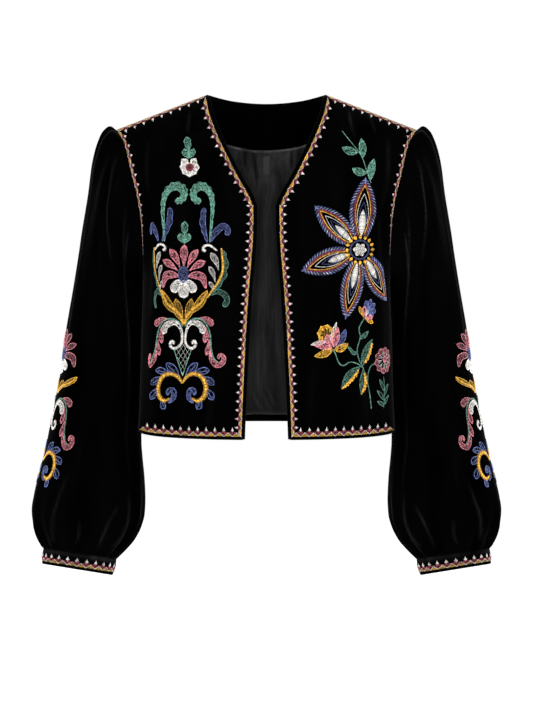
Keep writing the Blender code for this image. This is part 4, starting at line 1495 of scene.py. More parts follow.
def palmette(core=PINK_CORE):
    """A pink flower with a blue eye and three white lobes under it."""
    sewn = []
    for tip, width in (((18, 31), 9.0), ((28.5, 16.5), 8.6)):
        tip = np.array(tip)
        sewn += filled_stroke("pink", *petal(0.28 * tip, tip, width, 1.0), core)
        sewn += dots("maroon", [0.45 * tip, 0.88 * tip], VEIN)
    sewn += filled_stroke("pink", [(7, -3), (16, -1), (25.5, -4), (30, -17)], [3, 9, 9.5, 2], core)
    sewn += dots("maroon", [(11, -2), (20, -2.5), (26, -9)], VEIN)
    lobe = [(3.5, -8), (9.5, -14.5), (15.5, -22)]
    sewn += filled_stroke("white", lobe, [6, 12, 12], 0.95, 1.05, bare=0.08)
    sewn += dots("white", [(6, -12), (12, -19)], 0.25)
    sewn = both_sides(sewn)
    sewn += filled_stroke("pink", *petal((0, 9), (0, 37), 9.6), core)
    sewn += dots("maroon", [(0, 15), (0, 33)], VEIN)
    lobe = [(0, -8), (0, -18), (0, -30)]
    sewn += filled_stroke("white", lobe, [7, 12, 13], 0.95, 1.05, level=0.2, bare=0.08)
    eye = [(0, -11), (0, -3), (0, 4), (0, 10)]
    return sewn + filled_stroke("blue", eye, [9, 12.5, 12.5, 9], 0.62, 0.78, level=0.4)


def cup():
    """Grey teardrops inside a golden line, with a scalloped leaf and a curl outside it."""
    half = []
    for drop in GREY_DROPS:
        half += filled_stroke("white", *leaf(*drop), GREY_CORE, GREY)
    side = [(45, 31), (48.8, 21), (49.6, 6), (45.8, -8), (36.5, -22)]
    half += filled_stroke("green", side, [3, 6.4, 7.2, 6.4, 1.5], 0.5, 0.62, waves=(4, 0), depth=0.8)
    rim = [(44, 33), (47, 8), (43.5, -6), (35.5, -19), (29, -29)]
    half += raised_stroke("gold", rim, [1.5, 2.6, 2.5, 2.2, 1.6])
    curl = [(33.5, -25), (42.5, -21), (51, -24.5), (54.5, -32), (50.5, -40)]
    curl = filled_stroke("green", curl, [3, 6, 6.4, 6, 6], 0.45, 0.6)
    return half + moved(half, scale=(-CUP_SPREAD, 1)) + curl + moved(curl, scale=(-CURL_SPREAD, 1))


def gold_leaves():
    """Two golden leaves on each side, and the rib that carries them."""
    half = filled_stroke("gold", *leaf((0.5, -62), (10.5, -31), 11, -1.5, 0.62), 0.38)
    half += filled_stroke("gold", *leaf((3.5, -52), (32, -20), 10, -3, 0.6), 0.38)
    rib = [(0.5, -64), (4.5, -52), (13, -43.5), (24, -35), (32, -20)]
    half += satin_stroke("gold", rib, [3.2, 2.6, 2.6, 2.4, 1.5])
    return both_sides(half)


print("palmette, cup and golden leaves:", stitch_count(palmette() + cup() + gold_leaves()), "stitches")


# %% Hanging scrolls
def scrolls(core=PINK_CORE, line=0.8):
    """Pink and green scrolls that hang from a white one."""
    head = [(21, -55.5), (30, -56.5), (35.8, -60), (36.5, -64.5)]
    half = filled_stroke("pink", head, [2, 6.5, 7.5, 5], core)
    half += filled_stroke("pink", *petal((29.5, -66), (28, -86), 6.5, 1.0), core)
    half += filled_stroke("pink", *petal((34, -82), (31, -101.5), 6.5, 1.0), core)
    tail = [(35.5, -96), (38, -107), (44.5, -114), (52, -111.5)]
    tail += [(54, -105.5), (51, -101.2), (47, -102), (48, -106)]
    half += filled_stroke("pink", tail, [1.5, 4.5, 6, 6, 5, 4, 3, 2.5], core)
    vine = [(1, -66), (7, -59.5), (14.5, -55.8), (25, -57.2), (32.5, -67)]
    vine += [(35.5, -79), (37, -93), (41, -105), (47, -111)]
    half += satin_stroke("green", vine, [0.8, 1.2, 1.3, 1.4, 1.4, 1.4, 1.3, 1.1, 0.8], line, level=0.4)
    hook = [(25.5, -74.5), (24, -66), (18.5, -61.8), (12, -60.5), (6, -65), (2.8, -73), (1.8, -83)]
    half += filled_stroke("white", hook, [6.5, 7.8, 7, 5.5, 3.4, 2.2, 1.9], 0.85, level=0.2)
    foot = [(1.8, -82), (3, -88), (7.5, -92.6), (12.5, -93.4)]
    foot += [(16.6, -89), (15, -84), (11.8, -85.5), (13, -88)]
    half += satin_stroke("white", foot, [2.2, 2.4, 2.6, 2.6, 2.6, 2.4, 2.2, 2.0], 0.95)
    return both_sides(half)


print("scrolls hang from the rib of the golden leaves")

# %% Lattice and double curl
LATTICE_TOP, LATTICE_NOTCH, LATTICE_APEX, LATTICE_HALF = -94.0, -86.0, -129.0, 11.5
LATTICE_REACH, LATTICE_LINES, LATTICE_ARCH = 19.6, 8, 6
CURL_PETALS = (
    ((3, -132), (20, -112), 9),
    ((14, -125), (36, -121), 8.5),
    ((27, -129), (42.5, -139), 8.5),
    ((32, -143), (42, -158.5), 8.5),
    ((27, -159), (21, -170.5), 8.5),
)


def lattice():
    """A cone of crossed threads."""
    sewn = []
    for step in np.linspace(-LATTICE_REACH, LATTICE_REACH, LATTICE_LINES):
        low, high = (step - 10.0, LATTICE_APEX), (step + 16.0, LATTICE_NOTCH)
        line = np.linspace(low, high, 60)
        across, up = np.abs(line[:, 0]), line[:, 1]
        below = (LATTICE_TOP + LATTICE_ARCH * (1 - across / LATTICE_HALF) - up) > 0
        inside = across < LATTICE_HALF * (up - LATTICE_APEX) / (LATTICE_TOP - LATTICE_APEX)
        kept = line[inside & below]
        if len(kept) > 4:
            thread = kept[[0, len(kept) // 2, -1]]
            sewn += stem("green", thread, 1.5, 0.26)
            sewn += stem("white", thread, 1.0, 0.2, level=0.4)
    sewn += stem("green", [(0, LATTICE_APEX), (LATTICE_HALF, LATTICE_TOP)], 1.15, 0.8)
    return both_sides(sewn)


def double_curl():
    """A golden line that curls inwards at both ends, with blue petals round it."""
    half = []
    for root, tip, width in CURL_PETALS:
        reach = np.subtract(tip, root)
        half += filled_stroke("blue", *petal(root, tip, width, 1.0), 0.22, 1.2, bare=0.6)
        half += stem("blue", [root + 0.4 * reach, root + 0.85 * reach], 1.0, 0.8)
    heart = [(16, -163), (10.5, -157.5), (9.8, -150), (13.5, -146), (17.5, -148.5), (16.5, -153)]
    half += filled_stroke("blue", heart, [2, 5.5, 6, 5.5, 5, 3.5], 0.55)
    line = [(0, -138.5), (6.5, -129.5), (16, -125.5), (27, -130)]
    line += [(32.5, -142), (30.5, -154), (22.5, -160.5), (14.5, -157.5)]
    half += raised_stroke("gold", line, [1.8, 3.8, 4.5, 4.9, 5.1, 4.9, 4.2, 2.3], level=0.4)
    return both_sides(half)


tall_motif = top_motif() + palmette() + cup() + gold_leaves() + scrolls() + lattice() + double_curl()
print("tall motif:", stitch_count(tall_motif), "stitches")

# %% [markdown]
# A drawing is flat and the body is round. So each drawing has an upright middle line on the cloth,
# and a stitch's distance from that line is measured along the cloth, not straight across. Near
# the side the drawing then turns away with the body, as the real one does. Pressing the drawing
# straight on from the front would be simpler, but it would smear along the side.

# %% From drawing to front
ARC_STEP, ARC_REACH = 0.001, 0.30
ARC_SHARE, ARC_SAMPLES, ARC_ROWS, ARC_TOP_Z = 0.999, 400, 140, -0.02


def round_the_front(z):
    """For some heights, the x reached after each millimetre of cloth from the centre line."""
    x = np.linspace(0, ARC_SHARE, ARC_SAMPLES)[None, :] * half_width(z)[:, None]
    y = body_y(x, z[:, None] + 0 * x, -1)
    run = np.cumsum(np.hypot(np.diff(x, axis=1), np.diff(y, axis=1)), axis=1)
    run = np.concatenate([0 * z[:, None], run], axis=1)
    even = np.arange(0, ARC_REACH, ARC_STEP)
    return np.stack([np.interp(even, r, xs) for r, xs in zip(run, x)])


ARC_HEIGHTS = np.linspace(HEM_Z, ARC_TOP_Z, ARC_ROWS)
ARC_TABLE = round_the_front(ARC_HEIGHTS)


def along_front(start_x, z, distance):
    """The x reached on the front by going round it some distance from a starting x."""
    row = np.clip((z - ARC_HEIGHTS[0]) / (ARC_HEIGHTS[1] - ARC_HEIGHTS[0]), 0, len(ARC_HEIGHTS) - 1.001)
    low, share = row.astype(int), row - row.astype(int)
    reached = ARC_TABLE[low] * (1 - share)[:, None] + ARC_TABLE[low + 1] * share[:, None]
    even = np.arange(reached.shape[1]) * ARC_STEP
    rows = zip(start_x, distance, reached)
    return np.array([np.interp(np.interp(s, r, even) + d, even, r) for s, d, r in rows])


def on_front(side, middle_line, eye_z):
    """The cloth under a drawing whose middle line runs through a table of heights and x."""

    def cloth(u, v):
        z = eye_z + v * MM
        start = np.interp(z, middle_line["z"], middle_line["x"])
        return body_cloth(along_front(start, z, u * MM), z, -1, FRONT_CREASES[side])

    return cloth


print(f"round the front at the hem: {ARC_TABLE.shape[1]} places, {ARC_STEP * 1000:.0f} mm apart")

# %% The tall motif on its front
# millimetres below the eye, distances as drawn, distances as sewn
SIDE_EASE = (
    (42, (-90, 0, 33, 44, 60), (-90, 0, 37, 43.5, 50)),
    (56, (-90, 0, 33, 41, 60), (-90, 0, 40.5, 50.5, 59)),
    (116, (-90, 0, 33, 41, 60), (-90, 0, 40.5, 50.5, 59)),
    (130, (-90, 0, 33, 60), (-90, 0, 38, 72)),
)
SIDE_DROOP, DROOP_ACROSS, DROOP_DOWN = 4.5, 45, 40


def eased(drawing):
    """The half on the side let out, level by level, and let down, as the cloth hangs there."""
    loose = []
    levels = [level for level, _, _ in SIDE_EASE]
    for colour, block in drawing:
        block = block.copy()
        for u, v in ((0, 1), (2, 3)):
            at = np.interp(-block[:, v], levels, np.arange(len(levels)))
            low = np.minimum(at.astype(int), len(levels) - 2)
            sewn = np.stack([np.interp(block[:, u], drawn, reached) for _, drawn, reached in SIDE_EASE])
            pick = np.arange(len(block))
            outwards = np.clip(block[:, u] / DROOP_ACROSS, 0, 1)
            block[:, v] -= SIDE_DROOP * outwards * np.clip(-block[:, v] / DROOP_DOWN, 0, 1)
            block[:, u] = sewn[low, pick] + (sewn[low + 1, pick] - sewn[low, pick]) * (at - low)
        loose.append((colour, block))
    return loose


TALL_LINE = table("z x", (-0.392, 0.1078), (-0.300, 0.1036), (-0.2264, 0.1040), (-0.050, 0.0990))
TALL_EYE_Z = -0.2264
lay("front_right", eased(tall_motif), on_front("right", TALL_LINE, TALL_EYE_Z), mirrored=True)
print("tall motif laid on the right front")

# %% [markdown]
# ## The star flower
# The left front has one large flower of five pointed petals. Each petal is a set of nested
# outlines: a corded blue edge, dark red, gold, then fine cream and navy lines on bare velvet, and
# a white heart. Round its eye stand golden stamens. One outline scaled down would crowd the lines
# at the tip, so each has its own inset from the edge and from the tip.

# %% Outlines and cord of the star
STAR_EYE, STAR_X, STAR_Z = 16.0, 0.1175, -0.196
STAR_PETALS = (((8, 91), 37), ((-60, 56), 31), ((-79, -26), 32), ((-21, -88), 32), ((52, -68), 34))
ROPE_INSET, ROPE_WIDTH, ROPE_STEP, ROPE_LEAN = 2.2, 3.4, 10, 8
# colour, inset from the edge, from the tip, where it starts, thickness, shade
PETAL_LINES = (
    ("maroon", 5.9, 8.0, 0.0, 2.0, 0.92),
    ("gold", 7.9, 11.0, 0.0, 1.1, 1.0),
    ("white", 10.2, 21.0, 0.36, 0.9, 0.75),
    ("navy", 12.4, 31.0, 0.36, 0.8, 1.05),
)
PETAL_WIDE, PETAL_LONG, SATIN_FROM = 35.0, 90.0, 1.2
OUTLINE_ROOT, OUTLINE_BELLY, OUTLINE_BLUNT = 1.2, 1.1, 0.9


def petal_outline(tip, width, inset, from_tip, from_share=0.0):
    """Both sides of a pointed petal's outline, some way inside its edge and short of its tip."""
    length = np.linalg.norm(tip)
    way = tip / length
    aside = np.array([-way[1], way[0]])
    share = np.linspace(from_share, 1, 25)
    run = OUTLINE_ROOT * inset + (length - from_tip - OUTLINE_ROOT * inset) * share
    half = np.abs(np.sin(np.pi * share**OUTLINE_BELLY)) ** OUTLINE_BLUNT
    half = max(width / 2 - inset, 1) * half
    middle = (way * run[:, None])[run > STAR_EYE]
    return [middle + sign * aside * half[run > STAR_EYE][:, None] for sign in (1, -1)]


def cord(outline, sign):
    """A twisted cord along an outline: light strands, dark ones between them, and glints."""
    _, left, right = ribbon(outline, [ROPE_WIDTH] * 2)
    outer, inner = (left, right) if sign > 0 else (right, left)
    last = len(left) - 1
    pick = np.arange(2, last - 4, ROPE_STEP)

    def strand(start):
        return outer[np.minimum(pick + start, last)], inner[np.minimum(pick + start + ROPE_LEAN, last)]

    first, final = strand(0)
    glint = first + 0.25 * (final - first), first + 0.75 * (final - first)
    return [
        ("blue", stitches(first, final, 1.6, 0.95, 0.2)),
        ("white", stitches(*glint, 0.8, 0.55, 0.45, 1.0)),
        ("navy", stitches(*strand(ROPE_STEP // 2), 1.2, 0.55, 0.2)),
    ]


print(len(STAR_PETALS), "petals with", len(PETAL_LINES), "lines each")


# %% Petals and eye of the star
def star_petal(tip, width):
    """One petal: its tip, the cord, the lines inside and the heart."""
    tip = np.array(tip, float)
    way = tip / np.linalg.norm(tip)
    sewn = [("blue", stitches([tip - 2.2 * way], [tip - 7.5 * way], 3.0, 1.0))]
    for sign, outline in zip((1, -1), petal_outline(tip, width, ROPE_INSET, 1.5 * ROPE_INSET)):
        sewn += cord(outline, sign)
    for colour, inset, from_tip, from_share, thick, shade in PETAL_LINES:
        inset, from_tip = inset * width / PETAL_WIDE, from_tip * np.linalg.norm(tip) / PETAL_LONG
        for outline in petal_outline(tip, width, inset, from_tip, from_share):
            if thick > SATIN_FROM:
                sewn += satin_stroke(colour, outline, [thick] * 2, shade)
            else:
                sewn += stem(colour, outline, shade, thick)
    heart = leaf(way * (STAR_EYE + 1), 0.55 * tip, 0.22 * width, 0, 0.5)
    return sewn + satin_stroke("white", *heart, 0.92, level=0.2, spread=0.1)


def star_eye():
    """Golden stamens round a dark ring and six small white petals."""
    sewn = []
    for turn in np.arange(0, 360, 22.5):
        way = towards(turn)
        sewn += satin_stroke("gold", [way * 14.8, way * 19.4], [2.2, 3.2, 1.6], 1.5, level=1.0)
    sewn += satin_stroke("blue", circle(12.4), [1.8] * 2, 0.3)
    for turn in np.arange(-5, 355, 60):
        way = towards(turn)
        sewn += filled_stroke("white", *petal(way * 1.0, way * 8.8, 5.2), 0.95, bare=0.03)
    return moved(sewn, scale=(1.10, 0.95))


star = sum((star_petal(tip, width) for tip, width in STAR_PETALS), []) + star_eye()
print("star flower:", stitch_count(star), "stitches")

# %% [markdown]
# Above the star stands a leafy stem, and below it a spray: a blue flower, a gold and pink one, a
# carnation near the side, leaves half green and half gold, and a small fern.

# %% Leafy stem and blue flower
STEM_LEAVES = (
    ((-2, 122), (-23, 128), 9.4, 1.5),
    ((4, 115), (3, 139), 9.4, -1.0),
    ((9, 96), (-9.5, 101.5), 9.4, 1.5),
    ((14, 87), (20, 113.5), 10.0, 1.0),
)
BLUE_FLOWER = (
    ("pink", petal, (8.5, -86), (6.5, -72), 6.5, 0, 0.85, 1.2, 0.4),
    ("pink", petal, (8, -86), (22, -86.5), 6.5, 0, 0.85, 1.2, 0.4),
    ("white", petal, (10, -84), (13, -77), 3.5, 0, 0.95, 1.0, 0.6),
    ("gold", petal, (6, -86), (-1, -72), 5, 0, 0.85, 1.1, 0.3),
    ("gold", petal, (8, -87), (22.5, -93.5), 5.5, 0, 0.85, 1.1, 0.3),
)


def leafy_stem():
    line = [(-23, 148.5), (-12, 135.5), (-1.5, 123), (4.5, 113), (9.5, 98), (15, 84)]
    sewn = stem("green", line, 0.9, 1.0)
    for root, tip, width, bend in STEM_LEAVES:
        sewn += filled_stroke("green", *leaf(root, tip, width, bend, 0.5), 0.8)
    return sewn


def blue_flower():
    centre = np.array((13, -79.5))
    sewn = []
    for turn, reach in ((100, 15), (68, 17), (36, 17), (4, 15), (-28, 12)):
        tip = centre + reach * towards(turn)
        sewn += filled_stroke("blue", *petal(centre, tip, 7), 0.6, 1.1)
    return sewn + sewn_shapes(BLUE_FLOWER)


print(len(STEM_LEAVES), "leaves on the stem")

# %% Golden flower and carnation
GOLD_FLOWER = (
    ("white", leaf, (-46, -114), (-66, -118.5), 5, 0, 0.9, 0.9, 0),
    ("pink", leaf, (-39, -123), (-62, -119), 9.5, -1.5, 0.85, 1.2, 0),
    ("pink", petal, (-40, -122), (-45.5, -106), 9, 0, 0.85, 1.2, 0.3),
    ("white", leaf, (-41, -114), (-33, -91), 4, 0, 0.9, 0.9, 0.2),
    ("pink", leaf, (-37, -122), (-31.5, -97), 8.5, -1, 0.85, 1.2, 0.4),
    ("blue", leaf, (-33, -121), (-20.5, -100), 9, -2, 0.6, 0.9, 0),
    ("gold", leaf, (-38, -124.5), (-61, -133), 9, 1.5, 0.65, 1.3, 0),
    ("gold", leaf, (-35.5, -125), (-17, -118), 9, -2, 0.65, 1.3, 0.3),
)


def gold_flower():
    centre = np.array((-46.5, -105))
    sewn = []
    for turn in (-14, 33, 80, 127, 174, 221):
        lobe = petal(centre + 5.5 * towards(turn), centre + 11.5 * towards(turn), 8.5)
        sewn += filled_stroke("gold", *lobe, 0.9, 1.25, bare=0.05)
    for across in (-4, -2, 0, 2, 4):
        sewn += stem("gold", [centre + (across, -5), centre + (across, 5)], 0.45, 0.9, level=0.0)
    return sewn + sewn_shapes(GOLD_FLOWER)


def carnation():
    centre = np.array((43, -143))
    sewn = []
    for turn in np.arange(10, 370, 36):
        way = towards(turn)
        sewn += filled_stroke("pink", *petal(centre + 8 * way, centre + 17 * way, 9), 0.4, 0.86)
    for turn in np.arange(20, 380, 40):
        way = towards(turn)
        aside = 1.6 * np.array([-way[1], way[0]])
        sewn += stem("white", [centre + 5 * way, centre + 11 * way], 0.6, 1.2)
        sewn += stem("green", [centre + 5 * way + aside, centre + 11 * way + aside], 0.6, 1.0)
    return sewn + filled_stroke("pink", *petal(centre - (0, 5), centre + (1, 6), 8), 0.8, level=0.4)


print(len(GOLD_FLOWER), "leaves and petals round the golden flower")

# %% Leaves and spray
TEETH = ((0.20, 1.6), (0.31, 2.8), (0.43, 1.8), (0.54, 3.0), (0.66, 2.0), (0.77, 2.4), (0.87, 1.4))
# side, height of the root, height of the tip, reach
FERN_LEAVES = (
    (-1, -202, -195, 12),
    (-1, -194, -181, 12),
    (-1, -182, -167, 8),
    (1, -200, -189, 11),
    (1, -188, -174, 10),
)


def half_gold_leaf(root, tip, width, bend, gold_side):
    """A green leaf with a golden edge, ragged with teeth, along one side."""
    points, widths = leaf(root, tip, width, bend, 0.5, 1.0)
    sewn = filled_stroke("green", points, widths, 0.65, 0.56)
    middle, left, right = ribbon(points, 0.8 * widths)
    edge = left if gold_side > 0 else right
    outwards = unit(edge - middle + NUDGE)
    run = unit(np.subtract(tip, root))
    strip = edge[len(edge) // 8 :: len(edge) // 8]
    sewn += satin_stroke("gold", strip, [1.2, 2.6, 3.0, 2.6, 1.0], 1.15, level=0.4)
    for place, long in TEETH:
        k = int(place * (len(edge) - 1))
        tooth = edge[k] + long * outwards[k] + 1.2 * run
        sewn += satin_stroke("gold", [edge[k] - run, tooth], [2.6, 2.8, 1.2], 1.25, level=0.5)
    return sewn


def spray():
    """The stem and its branches, leaves, three flowers and the fern."""
    rise = [(18.5, -203), (15.5, -183), (10.5, -166), (4, -149), (-1, -140)]
    rise += [(-4, -126), (0.5, -111), (-1, -99), (7, -87)]
    sewn = stem("green", rise, 0.56, 1.5)
    branch = [(3, -149), (-4, -144), (-14, -142), (-23, -146)]
    branch += [(-29.5, -142), (-33.5, -132), (-37, -125)]
    sewn += stem("green", branch, 0.58, 1.7)
    bud = [(-3, -129), (-8, -131), (-13, -126), (-17, -122)]
    sewn += filled_stroke("green", bud, [2, 4, 3, 1.5], 0.8, 0.6)
    sewn += filled_stroke("green", *leaf((0.5, -112), (14, -104), 5.5, -1), 0.8, 0.6)
    sewn += stem("green", [(12, -168), (13, -158), (18, -149), (25, -146)], 0.55, 1.4)
    sewn += half_gold_leaf((3, -148), (22, -115), 13, 2.0, -1)
    sewn += half_gold_leaf((1, -148), (-25, -176), 12, -2.5, 1)
    sewn += half_gold_leaf((5, -152), (2.5, -184), 9, 1.0, 1)
    sewn += blue_flower() + gold_flower() + carnation()
    sewn += stem("green", [(41, -164), (43, -181), (41, -204)], 0.55, 1.0)
    for side, low, high, out in FERN_LEAVES:
        frond = leaf((42, low), (42 + side * out, high), 4.6, 0.5 * side)
        sewn += filled_stroke("green", *frond, 0.4, 0.6)
    return sewn


STAR_LINE = table("z x", (-0.42, STAR_X), (-0.02, STAR_X))
left_drawing = star + leafy_stem() + spray()
lay("front_left", left_drawing, on_front("left", STAR_LINE, STAR_Z))
print("left front:", stitch_count(left_drawing), "stitches")

# %% [markdown]
# ## Sleeve embroidery
# Each sleeve repeats the lower half of the tall motif on its outer side, so from the front only
# one half of it shows. A place on the drawing is turned into a ring and an angle: the angle from
# the way round the sleeve, then the ring whose height fits. Unwrapping the sleeve would do as
# well, but the drawing would then slant with the arm instead of hanging upright.

# %% Sleeve motif
SLEEVE_EYE_Z, SLEEVE_TURN = -0.338, np.radians(17)
PETAL_CORE, SCROLL_CORE = 0.25, 0.5
SOLVE_ROUNDS, FIRST_RING, RING_STEP = 6, 10.0, 0.05


def on_sleeve(u, v):
    """The sleeve's cloth under a drawing."""
    z = SLEEVE_EYE_Z + v * MM
    ring = np.full_like(z, FIRST_RING)
    angle = np.full_like(z, SLEEVE_TURN)
    for _ in range(SOLVE_ROUNDS):
        count = np.arange(LAST_RING + 1.0)
        wide = (through(count, SLEEVE["outer_x"], ring) - through(count, SLEEVE["inner_x"], ring)) / 2
        deep = through(count, SLEEVE["half_depth"], ring)
        middle = (SLEEVE_TURN + angle) / 2
        angle = SLEEVE_TURN + u * MM / np.hypot(wide * np.sin(middle), deep * np.cos(middle))
        rise = plain_sleeve(ring + RING_STEP, angle) - plain_sleeve(ring - RING_STEP, angle)
        slope = rise[..., 2] / (2 * RING_STEP)
        ring = np.clip(ring + (z - plain_sleeve(ring, angle)[..., 2]) / slope, 1, LAST_RING - 0.1)
    return sleeve_cloth(ring, angle)


sleeve_motif = moved(palmette(PETAL_CORE), (0, 0), (0.98, 0.88))
sleeve_motif += moved(gold_leaves(), (0, -17), (1.1, 0.54))
sleeve_motif += moved(scrolls(SCROLL_CORE, 0.5), (0, 0), (0.9, 1.04))
sleeve_motif += moved(double_curl(), (0, -7), (0.92, 0.96))
for side in ("left", "right"):
    lay(f"sleeve_{side}", sleeve_motif, on_sleeve, mirrored=side == "right")
print("each sleeve:", stitch_count(sleeve_motif), "stitches")

# %% [markdown]
# ## The border
# A narrow border runs round both fronts and both cuffs. One repeat holds a golden tooth on the
# edge, a white zigzag over it, two dark red chevrons in the zigzag's valley and a white drop. To lay
# it, a band is walked in from the edge over the cloth, one millimetre at a time, so it keeps its
# width where the cloth rolls over the shoulder. An array bent along a curve would be quicker, but
# it would leave the cloth wherever the cloth is creased.

# %% Border repeat
GOLD_FROM, GOLD_TO, GOLD_STEP, TOOTH_TIP = 0.7, 4.4, 0.8, 5.4
ZIGZAG_FOOT, ZIGZAG_TOP = 0.1, 5.8
# foot, reach as a share of the repeat, height of the ends, shade
CHEVRONS = ((2.7, 0.34, 6.5, 2.3), (5.2, 0.19, 7.4, 2.8))
DROP = np.array(
    [
        (0, 7.6, 0, 12.4),
        (0.2, 7.8, 1.2, 9.2),
        (-0.2, 7.8, -1.2, 9.2),
        (1.2, 9.0, 0, 11.6),
        (-1.2, 9.0, 0, 11.6),
    ]
)


def border_repeat(pitch, bare, deep, gold, corner=False):
    """One repeat beside an edge: bare cloth first, then the band, made deeper or shallower."""
    half = pitch / 2
    rows = np.arange(GOLD_FROM, GOLD_TO, GOLD_STEP / deep)
    reach = half * (1 - rows / TOOTH_TIP)
    first, last = np.column_stack([half - reach, rows]), np.column_stack([half + reach, rows])
    sewn = [("gold", stitches(first, last, 0.9, gold, 0.35))]
    for sign in (1, -1):
        sewn += stem("white", [(half, ZIGZAG_TOP), (half - sign * half, ZIGZAG_FOOT)], 0.9, 0.55)
    if not corner:
        for sign in (1, -1):
            for foot, share, top, shade in CHEVRONS:
                sewn += stem("maroon", [(0, foot), (sign * share * pitch, top)], shade, 0.52)
        sewn.append(("white", stitches(DROP[:, :2], DROP[:, 2:], 1.0, 0.82, 0.15, 0.2)))
    return moved(sewn, (0, bare), (1, deep))


def border_along(length, pitch, bare, deep, gold, corner=True, thin=1.0):
    """Repeats side by side, fitted to an edge: no drop at a corner, and thinner towards the far end,
    where it is also painted darker as shade.
    """
    count = max(int(round(length / pitch)), 1)
    fitted = length / count
    sewn = []
    for i in range(count):
        left = np.interp(i / count, (0.5, 0.9), (1, thin))
        repeat = border_repeat(fitted, bare, deep * left, gold, corner and i == 0)
        # towards the far end the threads get narrower and are painted darker as shade
        thinner_with_painted_shade = np.array([1, 1, 1, 1, 0.5 + 0.5 * left, 0.25 + 0.75 * left, 1])
        sewn += [(colour, block * thinner_with_painted_shade) for colour, block in moved(repeat, (fitted * i, 0))]
    return sewn


print("border repeat:", stitch_count(border_repeat(11.5, 3, 1, 0.5)), "stitches")

# %% Bands beside the edges
BORDER_DEPTH = 22


def band_from_edge(x, z, relief, inwards):
    """Places x, z for each millimetre in from an edge, walked over the cloth."""
    band = [np.stack([x, z], axis=1)]
    for _ in range(BORDER_DEPTH):
        points, normal = body_cloth(*band[-1].T, -1, relief)
        step = unit(np.cross(normal, np.gradient(points, axis=0))) * inwards * MM
        band.append(band[-1] + step[:, (0, 2)])
    return np.stack(band, axis=1)


def on_band(x, z, relief, inwards):
    """The cloth beside an edge, and the edge's length seen from the front, in millimetres."""
    band = band_from_edge(x, z, relief, inwards)
    run = np.concatenate([[0], np.cumsum(np.hypot(np.diff(x), np.diff(z)))]) / MM

    def cloth(s, d):
        d = np.clip(d, 0, band.shape[1] - 1.001)
        near, share = d.astype(int), d - d.astype(int)
        at = np.interp(s, run, np.arange(len(run)))
        k = np.clip(at.astype(int), 0, len(run) - 2)
        f = (at - k)[:, None]
        first = band[k, near] * (1 - f) + band[k + 1, near] * f
        second = band[k, near + 1] * (1 - f) + band[k + 1, near + 1] * f
        place = first + (second - first) * share[:, None]
        return body_cloth(*place.T, -1, relief)

    return cloth, run[-1]


print("bands reach", BORDER_DEPTH, "mm in from the edge")

# %% Border on the fronts
HEM_BARE, FRONT_BARE, HEM_SIDE_GAP = 0.0034, 0.0036, 0.0035
NECK_FROM_Z, SHOULDER_FROM_X, SHOULDER_GAP = -0.0030, NECK_HALF + 0.0015, 0.0004
ARMHOLE_FROM_Z, ARMHOLE_TO_Z, ARMHOLE_GAP = TIP_Z - 0.001, -0.204, 0.0006


def front_edges():
    """Each edge of a front: x, z, its side of the cloth, then what border_along takes after length."""
    z = np.linspace(NECK_FROM_Z, V_BOTTOM_Z, 240)
    yield "neck", edge_of_front(z), z, 1, (12.2, 4.4, 0.66, 0.80)
    z = np.linspace(V_BOTTOM_Z, HEM_Z + HEM_BARE, 320)
    yield "front", edge_of_front(z), z, 1, (11.2, 3.6, 0.66, 0.80, False)
    x = np.linspace(FRONT_GAP_HEM + FRONT_BARE, half_width(np.array(HEM_Z)) - HEM_SIDE_GAP, 260)
    yield "hem", x, np.full_like(x, HEM_Z), 1, (10.9, 3.2, 0.90, 0.55)
    x = np.linspace(SHOULDER_FROM_X, TIP_X, 160)
    yield "shoulder", x, shoulder_z(x) - SHOULDER_GAP, -1, (12.0, 2.2, 1.4, 0.5)
    z = np.linspace(ARMHOLE_FROM_Z, ARMHOLE_TO_Z, 240)
    yield "armhole", side_of_panel(z, -1) - ARMHOLE_GAP, z, -1, (12.8, 0.3, 0.52, 0.5, True, 0.12)


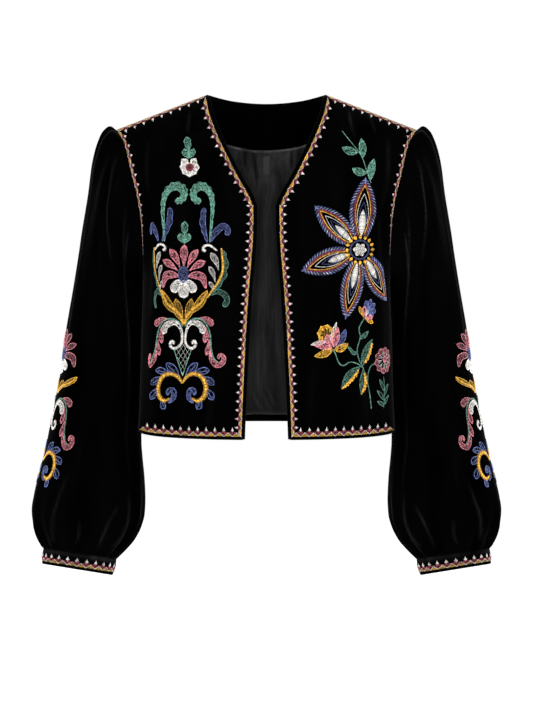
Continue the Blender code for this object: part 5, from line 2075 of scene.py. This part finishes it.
for side in ("left", "right"):
    for name, x, z, inwards, band in front_edges():
        cloth, length = on_band(x, z, FRONT_CREASES[side], inwards)
        lay(f"front_{side}", border_along(length, *band), cloth, mirrored=side == "right")
        print(f"{side} {name} border: {length:.0f} mm")

# %% Border on the cuffs
CUFF_REPEATS, CUFF_PITCH, CUFF_HIGH = 24, 8.8, 21.0
CUFF_ROUND = CUFF_REPEATS * CUFF_PITCH


def on_cuff(s, d):
    """The cuff's cloth, by the way round it and the distance up from its lower edge."""
    return cuff_cloth(1 - d / CUFF_HIGH, s / CUFF_ROUND * 2 * np.pi)


# the cuff's golden teeth are sewn darker than on the fronts: painted shade, as the cuffs are less lit
cuff_border = border_along(CUFF_ROUND, CUFF_PITCH, 3.2, 0.86, 0.40, corner=False)
for side in ("left", "right"):
    lay(f"cuff_{side}", cuff_border, on_cuff, mirrored=side == "right")
print("each cuff:", stitch_count(cuff_border), "stitches")

# %% [markdown]
# ## Sew it all
# Every cloud becomes one mesh: a thread of one colour on one piece of cloth. That keeps each piece
# small, and lets somebody recolour a thread later.

# %% Sew
sewn_on = {}
total = 0
for panel, colour in sorted(clouds):
    piece, count = sew(panel, colour)
    sewn_on.setdefault(panel, []).append(piece)
    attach(piece, "root")
    total += count
print(total, "stitches in", sum(len(group) for group in sewn_on.values()), "pieces")

# %% [markdown]
# ## Hide the solids
# The cloth pieces stand for the solids of the same name, which are hidden. Each piece hangs on the
# root, and a table lists the size it was cut to when it lay flat, its area and how it is held.

CUTS = {
    "front": ((0.205, 0.440), 0.074, "hung"),
    "back": ((0.430, 0.425), 0.170, "hung"),
    "sleeve": ((0.360, 0.540), 0.180, "gathered"),
    "cuff": ((0.210, 0.023), None, "stretched"),
    "back_neck_facing": ((0.200, 0.066), 0.0115, "hung"),
    "back_lining": ((0.330, 0.370), 0.118, "hung"),
    "label": ((0.0104, 0.025), None, "laid"),
}

for node, piece in pieces.items():
    kind = node.removesuffix("_left").removesuffix("_right")
    flat, area, held = CUTS[kind]
    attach(piece, "root")
    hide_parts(node)
print(len(pieces), "cloth pieces declared")
